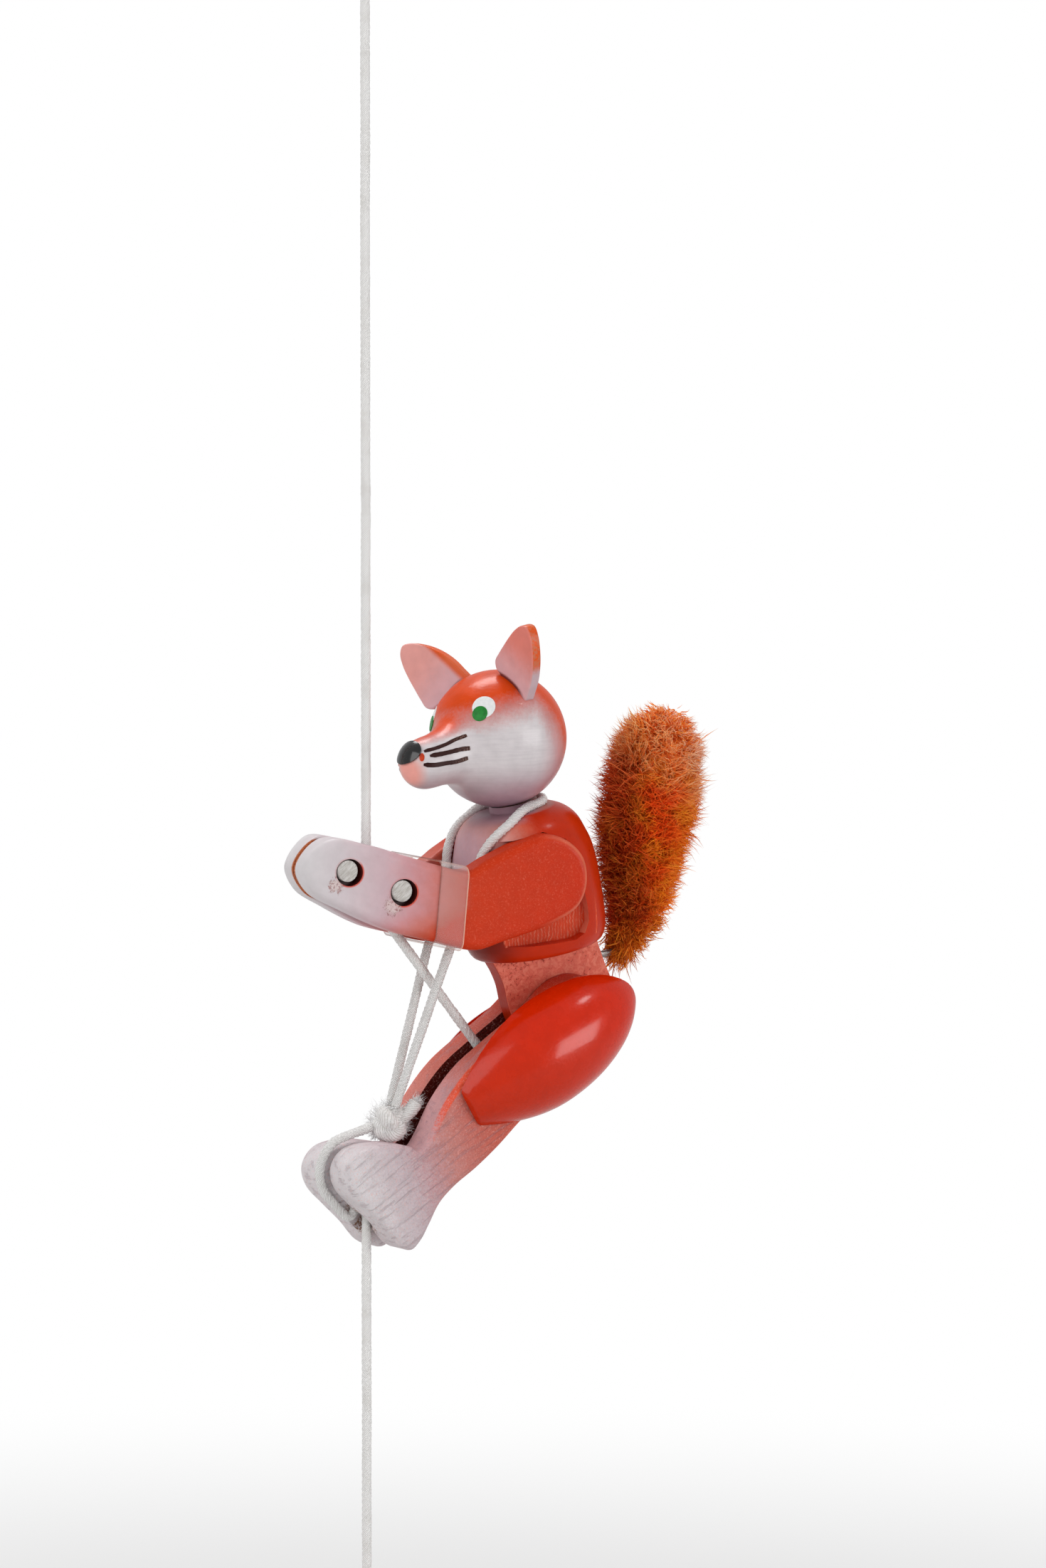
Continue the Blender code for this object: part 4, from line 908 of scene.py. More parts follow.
def fur_finish():
    """Dyed rabbit fur: dull orange hair, dark red-brown along the front, darker at the roots as the fur's base and
    painted shade deep in the brush; paler tips, brighter towards the top as painted highlight from above, and
    pink-white tips at the upper rear, frosted and with painted highlight."""
    finish, tree, shader, place = new_finish("Dyed rabbit fur", {"Roughness": 0.55, "Specular IOR Level": 0.12})
    chance, length, _ = node(tree, "ShaderNodeSeparateXYZ", {0: node(tree, "ShaderNodeUVMap", uv_map="Hair")}).outputs
    patch = node(tree, "ShaderNodeTexNoise", {0: place, "Scale": 0.12, "Detail": 3.0, "Roughness": 0.6})
    right = reach(tree, place, (72.0, -4.0, 85.0), (0.80, -0.46, -0.30))
    low = reach(tree, place, (66.0, 0.0, 63.0), (0.0, 0.0, 1.0))
    streak = reach(tree, place, (66.0, -4.0, 85.0), (0.866, -0.5, 0.10))
    high = reach(tree, place, (78.0, 0.0, 104.0), (0.45, -0.2, 0.87))
    rear = reach(tree, place, (82.0, 0.0, 102.0), (0.85, -0.3, 0.43))
    foot = mask(tree, (low, -2.0, 4.0, 0.85, 0.0))
    off_foot = node(tree, "ShaderNodeMath", {0: 1.0, 1: foot}, operation="SUBTRACT")
    # the pale tips turn paler towards the top: painted highlight from above
    tips = coats(tree, "#FF9848", ("#FFDC9E", (high, -12.0, -1.0)))
    colour = coats(tree, "#FF6414",
                   ("#FF9E22", (patch, 0.44, 0.60)),
                   ("#FF4E1E", (chance, 0.45, 0.95, 0.0, 0.7)),
                   ("#F69A1E", (right, 0.0, 12.0, 0.0, 0.7)),
                   ("#E88A1C", foot),
                   ("#A8260A", (streak, -1.0, 6.0, 1.0, 0.0), (length, 0.3, 1.0, 0.85, 0.45),
                    (streak, -10.5, -7.0), off_foot),
                   # darker towards the roots, and so on the core too: partly the fur's darker base, partly painted
                   # shade deep in the brush
                   ("#B43A0A", (length, 0.05, 0.5, 0.6, 0.0)),
                   # painted highlight: the hair grows paler towards the top of the brush
                   ("#FF9A3E", (high, -12.0, 0.0, 0.0, 0.65)),
                   (tips, (length, 0.5, 0.95), (high, -18.0, 0.0, 0.35, 1.0), (chance, 0.25, 0.75, 0.35, 1.0)),
                   # pink-white at the upper rear: frosted tips and painted highlight
                   ("#F6DCD2", (length, 0.5, 1.0), (rear, -4.0, 4.0, 0.0, 0.8)))
    feed(tree, shader, {"Base Color": colour})
    return finish


def ear_frame(side):
    """Root of an ear and the directions of its blade, width and face; side is 1 for the left one."""
    root = HEAD_CENTRE + (FORWARD * 0.097 + NEAR * (0.630 * side) + CROWN * 0.708) * HEAD_RADIUS
    tip = root + FORWARD * 2.6 + NEAR * (9.9 * side) + CROWN * 11.1
    blade = (tip - root).normalized()
    face = (FORWARD - blade * FORWARD.dot(blade)).normalized()
    return root, blade, face.cross(blade), face


# settings that a user would change
class FoxPaint(bpy.types.PropertyGroup):
    """Colours of the fox"""
    body: bpy.props.FloatVectorProperty(name="Body", description="Orange-red of the body", subtype="COLOR_GAMMA",
                                        size=3, min=0.0, max=1.0, default=(0.835, 0.153, 0.004))
    eye: bpy.props.FloatVectorProperty(name="Pupil", description="Green of the pupils", subtype="COLOR_GAMMA",
                                       size=3, min=0.0, max=1.0, default=(0.055, 0.541, 0.169))


class FoxSizes(bpy.types.PropertyGroup):
    """Sizes of the cords and the brush"""
    cord_diameter: bpy.props.FloatProperty(name="Cord diameter", description="Thickness of the climbing cord",
                                           default=0.00206, min=0.001, max=0.004, unit="LENGTH", precision=5)
    elastic_diameter: bpy.props.FloatProperty(name="Elastic diameter", description="Thickness of the elastic",
                                              default=0.0020, min=0.001, max=0.004, unit="LENGTH", precision=5)
    tufts: bpy.props.IntProperty(name="Tufts", description="Tufts of hair in the brush", default=1500, min=100,
                                 max=2000)
    hairs: bpy.props.IntProperty(name="Hairs", description="Hairs in each tuft", default=16, min=3, max=30)


class FOX_OT_cord(bpy.types.Operator):
    """Climbing cord above and below the fox, its hanging loop and its two knots"""
    bl_idname = "fox.cord"
    bl_label = "Climbing cord"
    bl_options = {"REGISTER", "UNDO"}

    def execute(self, context):
        sizes = context.scene.fox_sizes
        diameter = sizes.cord_diameter / MM
        yarn = cotton("Braided cotton cord", "#FFFEFC", "#E0DDD9")
        stretches = (("Climbing_cord_above", "cord_upper", (282.2, 77.3), ("line", "grip"), 1),
                     ("Climbing_cord_below", "cord_lower", (5.0, -100.4), ("grip", "line"), 2))
        for name, solid, (top, low), ends, seed in stretches:
            heights = [top + (low - top) * k / 20 for k in range(21)]
            cord, path = braid(name, [(0, 0, z) for z in heights], diameter, ring=0.45, slack=0.10, seed=seed)
            wear(cord, yarn)
            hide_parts(solid)
            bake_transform(cord)
        # the loop leaves its knot on both sides of the knot's middle
        knot_size = 2.8
        knot_at = LOOP_TOP - 26.0 - knot_size
        low = knot_at + knot_size * 0.55 + GAP
        out = knot_size * 0.85 + GAP
        route = [(-out, 0, low), (-5.6, 0, low + 7.5), (-7.4, 0, low + 16.0), (-5.6, 0, 310.8), (0, 0, 313.03),
                 (5.6, 0, 310.8), (7.4, 0, low + 16.0), (5.6, 0, low + 7.5), (out, 0, low)]
        loop, path = braid("Hanging_loop", route, diameter, ring=0.45, seed=3)
        dress(loop, yarn, "line", "hanging_loop")
        for name, solid, at, radius, seed in (("Loop_knot", "loop_knot", knot_at, 3.3, 4),
                                              ("Stop_knot", "bottom_knot", -98.3 - 0.6 - 3.0, 3.4, 5)):
            knot = knotted(name, (0, 0, at), radius, diameter * 1.45, (0.5, 0.3), seed)
            dress(knot, yarn, "line", solid)
        return {"FINISHED"}


class FOX_OT_waist_cord(bpy.types.Operator):
    """Stretch of the cord from the hands to the feet"""
    bl_idname = "fox.waist_cord"
    bl_label = "Cord inside the fox"
    bl_options = {"REGISTER", "UNDO"}

    def execute(self, context):
        sizes = context.scene.fox_sizes
        yarn = cotton("Braided cotton cord inside", "#FDFCFA", "#D8D4CF")
        route = middle_route()
        diameter = sizes.cord_diameter / MM
        wrap, _ = braid("Cord_round_the_rear_pin", route[:5], diameter, seed=6)
        end, _ = braid("Cord_inside_the_legs", route[5:], diameter, seed=12)
        cord, path = braid("Cord_through_the_fox", [route[4], route[4].lerp(route[5], 0.5), route[5]], diameter,
                           seed=13)
        for piece in (wrap, end, cord):
            wear(piece, yarn)
        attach(wrap, "upper_body")
        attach(end, "legs")
        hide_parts("cord_middle")
        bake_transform(cord)
        return {"FINISHED"}


class FOX_OT_elastic(bpy.types.Operator):
    """Elastic round the neck, its knot before the legs and its end in the soles"""
    bl_idname = "fox.elastic"
    bl_label = "Elastic"
    bl_options = {"REGISTER", "UNDO"}

    def execute(self, context):
        sizes = context.scene.fox_sizes
        yarn = cotton("Cotton covered elastic", "#FFFEFC", "#D8D4CF", fuzz=1.4)
        diameter = sizes.elastic_diameter / MM
        strands, path = braid("Elastic_round_the_neck", ELASTIC_LOOP, diameter, ring=0.42, lay=5.0, relief=0.17,
                              slack=0.35, seed=7)
        wear(strands, yarn)
        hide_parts("elastic_loop")
        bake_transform(strands)
        tail, path = braid("Elastic_end", ELASTIC_TAIL, diameter, ring=0.4, lay=5.0, relief=0.17, seed=8)
        dress(tail, yarn, "legs", "elastic_tail")
        knot = knotted("Elastic_knot", KNOT + Vector((0.2, -0.3, -0.2)), 4.5, diameter * 1.85, (1.2, 0.4), 9)
        dress(knot, yarn, "legs", "elastic_knot")
        free_end = [KNOT + Vector(p) for p in
                    ((1.4, -0.6, 0.2), (3.4, -1.3, 1.4), (5.2, -1.6, 3.0), (6.3, -1.6, 4.3))]
        stub, _ = braid("Elastic_free_end", free_end, diameter * 1.5, lay=5.0, relief=0.14, seed=10)
        dress(stub, yarn, "legs")
        # frayed yarns at the free end, along it and round the knot: place, direction and spread
        fuzz = [(KNOT + Vector((6.1, -1.6, 4.1)), Vector((0.7, -0.2, 0.7)), 1.1)] * 9
        dice = random.Random(5)
        for k in range(8):
            fuzz.append((KNOT + Vector((2.4, -1.0, 0.9)).lerp(Vector((6.3, -1.6, 4.3)), k / 7),
                         scatter(dice, 1), 1.6))
        for _ in range(46):
            out = scatter(dice, 1).normalized()
            fuzz.append((KNOT + out * dice.uniform(3.1, 3.9), out, 1.3))
        fray = hairs_from("Frayed_end", fuzz, 30, (0.5, 1.9), 0.13, 11)
        # the frayed yarns get a whiter copy of the cotton: painted light against the shade among the yarns
        dress(fray, cotton("Frayed cotton ends", "#FFFFFF", "#F2F0EC", fuzz=0.3), "legs")
        return {"FINISHED"}


def hairs_from(name, places, count, lengths, width, seed):
    """Loose yarns: thin three-sided spikes that leave each place round its direction."""
    dice = random.Random(seed)
    mesh = bmesh.new()
    uv = mesh.loops.layers.uv.new("Along the cord")
    for start, way, spread in places:
        for _ in range(count):
            d = (way + scatter(dice, spread * 0.5)).normalized()
            root = start + scatter(dice, spread * 0.45)
            curl = scatter(dice, 0.9)
            length = dice.uniform(*lengths)
            side = d.cross(Vector((0.3, 0.5, 0.8))).normalized()
            other = d.cross(side)
            rows = []
            for k in range(4):
                t = k / 3
                centre = root + d * length * t + curl * (0.5 * t * t)
                w = width * (1.0 - 0.75 * t) / 2
                rows.append([mesh.verts.new(place_of(*(centre + (side * math.cos(a) + other * math.sin(a)) * w)))
                             for a in (0.0, 2.094, 4.189)])
            for k in range(3):
                for m in range(3):
                    n = (m + 1) % 3
                    face = mesh.faces.new((rows[k][m], rows[k][n], rows[k + 1][n], rows[k + 1][m]))
                    face.smooth = True
                    for loop in face.loops:
                        loop[uv].uv = (dice.random() * 0.2 + k, m / 3)
            mesh.faces.new(rows[3])
            mesh.faces.new(list(reversed(rows[0])))
    return made_of(name, mesh)


def head_section():
    """The ball of the head as far as the muzzle, and the muzzle drawn out to its tip."""
    ball = [(-HEAD_RADIUS * math.cos(math.pi * k / 40), HEAD_RADIUS * math.sin(math.pi * k / 40) if k else 0.0)
            for k in range(29)]
    muzzle = smooth(ball[-2:] + MUZZLE_SECTION, 4, False)[5:]
    section = ball + [(s, max(r, 0.0)) for s, r in muzzle]
    section[-1] = (section[-1][0], 0.0)
    return section


class FOX_OT_head(bpy.types.Operator):
    """Turned head with the muzzle drawn out of the ball"""
    bl_idname = "fox.head"
    bl_label = "Head"
    bl_options = {"REGISTER", "UNDO"}

    def execute(self, context):
        head = turned("Turned_head", HEAD_CENTRE, MUZZLE_AXIS, CROWN, head_section(), steps=96)
        cut(head, drill(TORSO_FOOT + TORSO_AXIS * 27.0, TORSO_FOOT + TORSO_AXIS * 41.9, 3.1, 32))
        shade(head, 40)
        dress(head, head_paint(), "upper_body", "head")
        return {"FINISHED"}


def on_head(ahead, near, up):
    """The point so far ahead, to the near side and up of the middle of the head."""
    return HEAD_CENTRE + FORWARD * ahead + NEAR * near + CROWN * up


def lay_on(thing, target, lift):
    """Presses a flat daub onto the head and gives it its thickness."""
    wrap = thing.modifiers.new("Lay on", "SHRINKWRAP")
    wrap.target = target
    wrap.wrap_method = "NEAREST_SURFACEPOINT"
    wrap.wrap_mode = "ON_SURFACE"
    wrap.offset = 0.0
    thick = thing.modifiers.new("Film", "SOLIDIFY")
    thick.thickness = lift * MM
    thick.offset = 1.0
    return finish_modifiers(thing)


def daub(name, centre, outward, up, wide, high, target, lift=0.09, rings=5):
    """A dab of paint: a disc with a few rings, pressed on the wood, thickest in the middle."""
    clear_pick()
    bpy.ops.mesh.primitive_circle_add(vertices=40, radius=1.0, fill_type="NGON")
    spot = name_it(bpy.context.object, name)
    bpy.ops.object.mode_set(mode="EDIT")
    bpy.ops.mesh.select_all(action="SELECT")
    for _ in range(rings):
        bpy.ops.mesh.inset(thickness=0.17)
    bpy.ops.object.mode_set(mode="OBJECT")
    turn = turn_to(outward, up)
    for vertex in spot.data.vertices:
        flat = turn @ Vector((vertex.co.x * wide, vertex.co.y * high, 0.0))
        vertex.co = place_of(*(Vector(centre) + flat))
    spot.matrix_world = Matrix.Identity(4)
    lay_on(spot, target, lift)
    pick(spot)
    bpy.ops.object.shade_smooth_by_angle(angle=math.radians(60))
    return spot


def stroke(name, points, width, target, ends):
    """A brush stroke on the head along points, given ahead, near and up of its centre."""
    route = curve_through([on_head(*p) for p in points], 6)
    count = len(route)
    clear_pick()
    bpy.ops.mesh.primitive_grid_add(x_subdivisions=count - 1, y_subdivisions=4, size=1.0)
    mark = name_it(bpy.context.object, name)
    rows = {}
    for vertex in mark.data.vertices:
        rows.setdefault(round(vertex.co.x, 4), []).append(vertex)
    keys = sorted(rows)
    for i, key in enumerate(keys):
        p = route[min(i, count - 1)]
        t = (route[min(i + 1, count - 1)] - route[max(i - 1, 0)]).normalized()
        away = (p - HEAD_CENTRE - MUZZLE_AXIS * (p - HEAD_CENTRE).dot(MUZZLE_AXIS)).normalized()
        side = away.cross(t).normalized()
        along = i / (len(keys) - 1)
        body = min(1.0, ends[0] + along * 6, ends[1] + (1 - along) * 6)
        w = width * body * (1.0 + 0.12 * noise.noise(Vector((i * 0.7, width * 9, 1.0))))
        for vertex in rows[key]:
            across = vertex.co.y
            vertex.co = place_of(*(p + away * 0.3 + side * across * w))
    mark.matrix_world = Matrix.Identity(4)
    mark.data.uv_layers[0].name = "Stroke"
    return lay_on(mark, target, 0.06)


class FOX_OT_face(bpy.types.Operator):
    """Painted eyes, nose, lip dot and whiskers"""
    bl_idname = "fox.face"
    bl_label = "Painted face"
    bl_options = {"REGISTER", "UNDO"}

    def execute(self, context):
        head = bpy.data.objects.get("Turned_head")
        if head is None:
            raise RuntimeError("The face is painted on the head, so the head is made first")
        white = spot_paint("White hobby enamel", "#F4F6F5", "#E9ECEC")
        green = spot_paint("Green hobby enamel", chosen("eye"), "#05701F", gloss=0.35, coat=0.0)
        black = spot_paint("Black hobby enamel", "#0A0A0A", "#101010", gloss=0.2, coat=0.7)
        dot = spot_paint("Orange-red dot", "#CE4218", "#B4340F")
        brown = whisker_paint()
        pieces = []
        for side, word in ((1, "left"), (-1, "right")):
            centre = on_head(11.0, 8.7 * side, 6.75)
            out = (centre - HEAD_CENTRE).normalized()
            pieces.append((daub("Eye_white_" + word, centre, out, CROWN, 2.75, 2.75, head), white))
            pupil = on_head(12.15, 8.35 * side, 5.4)
            pieces.append((daub("Pupil_" + word, pupil, (pupil - HEAD_CENTRE).normalized(), CROWN, 1.8, 1.8, head,
                                lift=0.2), green))
            pieces.append((daub("Lip_dot_" + word, on_head(27.2, 3.9 * side, -2.9), NEAR * side, CROWN, 0.85, 0.95,
                                head, lift=0.1, rings=3), dot))
            strokes = (
                ([(26.4, 3.9, -1.85), (23.9, 4.9, -1.35), (20.8, 5.2, -0.65), (17.7, 5.6, 0.35), (15.4, 6.7, 0.95)],
                 0.92, (0.6, 0.85)),
                ([(25.6, 4.6, -3.0), (22.9, 5.5, -2.75), (19.9, 5.8, -2.45), (17.2, 6.2, -2.15), (15.3, 7.0, -2.15)],
                 1.05, (0.5, 0.85)),
                ([(26.9, 3.6, -4.6), (25.0, 4.9, -4.95), (21.9, 5.6, -4.85), (18.7, 5.8, -4.75), (15.8, 6.3, -4.2)],
                 1.0, (0.55, 0.85)))
            for k, (points, width, ends) in enumerate(strokes):
                mark = stroke("Whisker_%s_%d" % (word, k + 1), [(f, n * side, c) for f, n, c in points], width,
                              head, ends)
                pieces.append((mark, brown))
        over_muzzle = (CROWN - MUZZLE_AXIS * CROWN.dot(MUZZLE_AXIS)).normalized()
        tip = HEAD_CENTRE + MUZZLE_AXIS * 27.7 + over_muzzle * 3.75
        out = (MUZZLE_AXIS * 0.78 + over_muzzle * 0.63).normalized()
        pieces.append((daub("Nose", tip, out, CROWN, 4.6, 3.1, head, lift=0.5, rings=6), black))
        for piece, finish in pieces:
            dress(piece, finish, "upper_body")
        return {"FINISHED"}


class FOX_OT_ears(bpy.types.Operator):
    """Leaf shaped plywood ears"""
    bl_idname = "fox.ears"
    bl_label = "Ears"
    bl_options = {"REGISTER", "UNDO"}

    def execute(self, context):
        outline = smooth(EAR_LEAF, 10)
        for side, solid in ((1, "ear_left"), (-1, "ear_right")):
            root, blade, width, face = ear_frame(side)
            if side < 0:
                root = root + Vector(FAR_EAR_SHIFT)
                swing = Matrix.Rotation(math.radians(FAR_EAR_TURN), 3, blade)
                width, face = swing @ width, swing @ face
            ear = sawn("Ear_" + solid[4:], outline, EAR_THICK, 0.45, 0.45,
                       lambda x, t, z: root - width * x + blade * z + face * (t - EAR_THICK / 2), segments=4)
            cut(ear, head_seat(0.02))
            shade(ear, 35)
            dress(ear, ear_paint(side), "upper_body", solid)
        return {"FINISHED"}


def head_seat(room):
    """The ball of the head, so much larger, that pieces which rest on it are cut with."""
    arc = [(-math.cos(math.pi * k / 32), math.sin(math.pi * k / 32) if 0 < k < 32 else 0.0) for k in range(33)]
    section = [((HEAD_RADIUS + room) * s, (HEAD_RADIUS + room) * r) for s, r in arc]
    return turned("Seat", HEAD_CENTRE, (0, 0, 1), (0, 1, 0), section, steps=64)


class FOX_OT_torso(bpy.types.Operator):
    """Turned body with milled shoulder flats and the tongue of the hip"""
    bl_idname = "fox.torso"
    bl_label = "Body"
    bl_options = {"REGISTER", "UNDO"}

    def execute(self, context):
        section = [(0.0, 0.0), (0.0, 13.6), (0.15, 14.2), (0.5, 14.75), (1.3, 15.3)]
        section += smooth(TORSO_SECTION, 5, False)
        section += [(32.25, 7.6), (32.3, 5.7), (33.85, 5.5), (34.05, 5.2), (34.05, 0.0)]
        body = turned("Turned_body", TORSO_FOOT, TORSO_AXIS, (0, 1, 0), section, steps=112)
        tongue = sawn("Tongue", smooth(TONGUE_OUTLINE, 8), 4.2, 0.3, 0.3, lambda x, t, z: (x, t - 2.1, z),
                      segments=2)
        cut(body, tongue, "UNION")
        for side in (-1, 1):
            pocket = sawn("Pocket", POCKET_OUTLINE, 20.0, 0, 0,
                          lambda x, t, z: (x, side * (arm_inner(x) - GAP + t), z))
            cut(body, pocket)
        cut(body, head_seat(0.25))
        cut(body, drill((HIP[0], -9, HIP[1]), (HIP[0], 9, HIP[1]), AXLE_BORE))
        shade(body, 32)
        dress(body, torso_paint(), "upper_body", "torso")
        return {"FINISHED"}


class FOX_OT_arms(bpy.types.Operator):
    """Straight sawn arms that meet at the hands, drilled for the two pins"""
    bl_idname = "fox.arms"
    bl_label = "Arms"
    bl_options = {"REGISTER", "UNDO"}

    def execute(self, context):
        finish = arm_paint()
        outline = smooth(ARM_OUTLINE, 8)
        for side, solid in ((-1, "arm_left"), (1, "arm_right")):
            arm = sawn("Arm_" + solid[4:], outline, ARM_THICK, 0.7, 1.9,
                       lambda x, t, z: (x, side * (arm_inner(x) + t), z))
            saw = sawn("Saw", [(-40, 50), (0, 50), (0, 110), (-40, 110)], 8.15, 0, 0,
                       lambda x, t, z: (x, side * (SEAM - t), z))
            cut(arm, saw)
            for px, pz in HAND_PINS:
                cut(arm, drill((px, -30, pz), (px, 30, pz), 2.5, 48))
                sx, sz = px + SINK_SHIFT, pz - SINK_SHIFT
                floor = arm_inner(px) + ARM_THICK - 1.6
                cut(arm, drill((sx, side * floor, sz), (sx, side * 30.0, sz), 3.05, 48))
            shade(arm, 32)
            dress(arm, finish, "upper_body", solid)
        return {"FINISHED"}


class FOX_OT_film(bpy.types.Operator):
    """Clear film wound round both arms"""
    bl_idname = "fox.film"
    bl_label = "Film round the arms"
    bl_options = {"REGISTER", "UNDO"}

    def execute(self, context):
        # six loops round both arms: two at each edge and one in the middle, out and back inside
        rings = []
        for shift, grow in ((-3.25, 0.05), (-3.25, 0.33), (0.0, 0.36), (3.25, 0.33), (3.25, 0.05), (0.0, 0.03)):
            top = 81.7 - 0.245 * shift + grow + 0.1
            low = 63.6 - 0.27 * shift - grow - 0.1
            ref = FILM_MIDDLE + shift
            half = arm_inner(ref) + ARM_THICK + grow + 0.05
            radius = 1.9 + grow
            ring = []
            for cy, cz, start in ((half - radius, top - radius, 0), (-half + radius, top - radius, 90),
                                  (-half + radius, low + radius, 180), (half - radius, low + radius, 270)):
                for k in range(9):
                    a = math.radians(start + 11.25 * k)
                    y, z = cy + radius * math.cos(a), cz + radius * math.sin(a)
                    x = FILM_MIDDLE + FILM_LEAN * (z - FILM_FOOT) + shift
                    ring.append((x, y + ARM_LEAN * (x - ref) * y / half, z))
            rings.append(ring)
        count = len(rings[0])
        verts = [place_of(*p) for ring in rings for p in ring]
        faces = [(r * count + i, r * count + (i + 1) % count, (r + 1) % 6 * count + (i + 1) % count,
                  (r + 1) % 6 * count + i) for r in range(6) for i in range(count)]
        mesh = bpy.data.meshes.new("Clear_film")
        mesh.from_pydata(verts, [], faces)
        film = shade(face_out(placed("Clear_film", mesh)), 30)
        dress(film, clear_film(), "upper_body", "arm_band")
        return {"FINISHED"}


class FOX_OT_legs(bpy.types.Operator):
    """Sawn legs that end in feet pressed together, with the slot and the cord hole"""
    bl_idname = "fox.legs"
    bl_label = "Legs"
    bl_options = {"REGISTER", "UNDO"}

    def execute(self, context):
        finish = leg_paint()
        slot = [(7.2, 19.6), (9.6, 17.1), (12.3, 14.9), (21.0, 10.5), (30.0, 4.0), (80.0, 20.0), (80.0, 64.0),
                (20.0, 64.0), (-2.0, 40.0)]
        route = middle_route()
        way = (route[-2] - route[-1]).normalized()
        lift = Vector((-way.z, 0.0, way.x)) * (3.5 - CORD_RADIUS - 0.17)
        sole = Vector((SOLE[0], 0.0, SOLE[1])) + lift
        # room for the cord when the legs hang straight down and the feet slide along it
        way_up = [(-1.2, 2.0), (1.5, 2.0), (5.6, 20.0), (2.4, 20.0), (-1.2, 6.0)]
        for side, solid, inner in ((-1, "leg_left", 1.5), (1, "leg_right", 2.3)):
            points = [(x + FAR_TOE[0], z + FAR_TOE[1]) if side > 0 and 1 <= i <= 11 else (x, z)
                      for i, (x, z) in enumerate(LEG_OUTLINE)]
            leg = sawn("Leg_" + solid[4:], smooth(points, 7), LEG_OUT - SEAM, inner, 1.9,
                       lambda x, t, z: (x, side * (SEAM + t), z))
            cut(leg, sawn("Saw", slot, 4.8, 0, 0, lambda x, t, z: (x, t - 2.4, z)))
            cut(leg, drill(sole - way * 9.0, sole + way * 22.0, 3.5))
            cut(leg, drill((0, 0, -9.0), (0, 0, 4.6), 1.36, 32))
            cut(leg, sawn("Way_up", way_up, 2.6, 0, 0, lambda x, t, z: (x, t - 1.3, z)))
            shade(leg, 32)
            dress(leg, finish, "legs", solid)
        return {"FINISHED"}


class FOX_OT_thighs(bpy.types.Operator):
    """Turned thighs, sliced flat where they lie on the legs"""
    bl_idname = "fox.thighs"
    bl_label = "Thighs"
    bl_options = {"REGISTER", "UNDO"}

    def execute(self, context):
        finish = fox_orange_paint()
        section = [(-1.0, 0.0), (-1.0, 5.2), (-0.86, 5.6), (-0.5, 6.2)]
        section += [(s, max(r, 0.0)) for s, r in smooth(THIGH_SECTION, 4, False)]
        section[-1] = (section[-1][0], 0.0)
        rise = math.radians(THIGH_RISE)
        axis = Vector((math.cos(rise), 0.0, math.sin(rise)))
        up = Vector((-math.sin(rise), 0.0, math.cos(rise)))
        foot = Vector((HIP[0], 0.0, HIP[1])) - axis * 0.690 * THIGH_LONG - up * 1.67
        for side, solid, drop in ((-1, "thigh_left", 0.0), (1, "thigh_right", 5.0)):
            base = foot + Vector((0.0, side * (LEG_OUT - 3.5), -drop))
            thigh = turned("Thigh_" + solid[6:], base, axis, (0, 1, 0), section, steps=112)
            pick(thigh)
            bpy.ops.object.mode_set(mode="EDIT")
            bpy.ops.mesh.select_all(action="SELECT")
            bpy.ops.mesh.bisect(plane_co=place_of(0, side * (LEG_OUT + GAP), 0), plane_no=(0, side, 0),
                                use_fill=True, clear_inner=True)
            face_out(thigh)
            cut(thigh, drill((HIP[0], side * 9.0, HIP[1]), (HIP[0], side * 13.3, HIP[1]), AXLE_BORE))
            shade(thigh, 35)
            dress(thigh, finish, "legs", solid)
        return {"FINISHED"}


class FOX_OT_pins(bpy.types.Operator):
    """Finish of the dowels, pins and wire, whose shapes stay as they are"""
    bl_idname = "fox.pins"
    bl_label = "Pins and dowels"
    bl_options = {"REGISTER", "UNDO"}

    def execute(self, context):
        grey, raw, wire = pin_paint(), bare_wood(), steel_wire()
        for solid, finish in (("hand_pin_front", grey), ("hand_pin_rear", grey), ("shoulder_dowel", raw),
                              ("neck_dowel", raw), ("hip_axle", raw), ("leg_cord_pin", wire), ("tail_wire", wire)):
            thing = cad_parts[solid]
            for slot in thing.material_slots:
                slot.material = finish
            if not thing.material_slots:
                thing.data.materials.append(finish)
        return {"FINISHED"}


class FOX_OT_bead(bpy.types.Operator):
    """Turned bead at the end of the cord"""
    bl_idname = "fox.bead"
    bl_label = "Bead"
    bl_options = {"REGISTER", "UNDO"}

    def execute(self, context):
        bore, chamfer = 1.33, 0.25
        start = math.asin((bore + chamfer) / BEAD_RADIUS)
        arc = [math.pi - start - (math.pi - 2 * start) * k / 40 for k in range(41)]
        section = [(BEAD_RADIUS * math.cos(a), BEAD_RADIUS * math.sin(a)) for a in arc]
        section += [(section[-1][0] - chamfer, bore), (section[0][0] + chamfer, bore)]
        bead = turned("Bead", (0, 0, BEAD_HEIGHT), (0, 0, 1), (0, 1, 0), section, steps=72, closed=True)
        shade(bead, 35)
        dress(bead, fox_orange_paint(), "line", "pull_bead")
        return {"FINISHED"}


def limited(value, low, high):
    """A value kept between low and high."""
    return max(low, min(high, value))


def flat_hair(mesh, uv, points, widths, side, chance):
    """One flat hair along points, widths across as far as its tip. Its UV map holds the chance
    that picks its colour, and how far along the hair a point lies."""
    rows = [(mesh.verts.new(place_of(*(at - side * width * 0.5))),
             mesh.verts.new(place_of(*(at + side * width * 0.5)))) for at, width in zip(points, widths)]
    tip = mesh.verts.new(place_of(*points[-1]))
    count = len(widths)
    for k, low in enumerate(rows):
        last = k == count - 1
        face = mesh.faces.new(low + (tip,) if last else low + (rows[k + 1][1], rows[k + 1][0]))
        for loop, step in zip(face.loops, (k, k, k + 1) if last else (k, k, k + 1, k + 1)):
            loop[uv].uv = (chance, step / count)


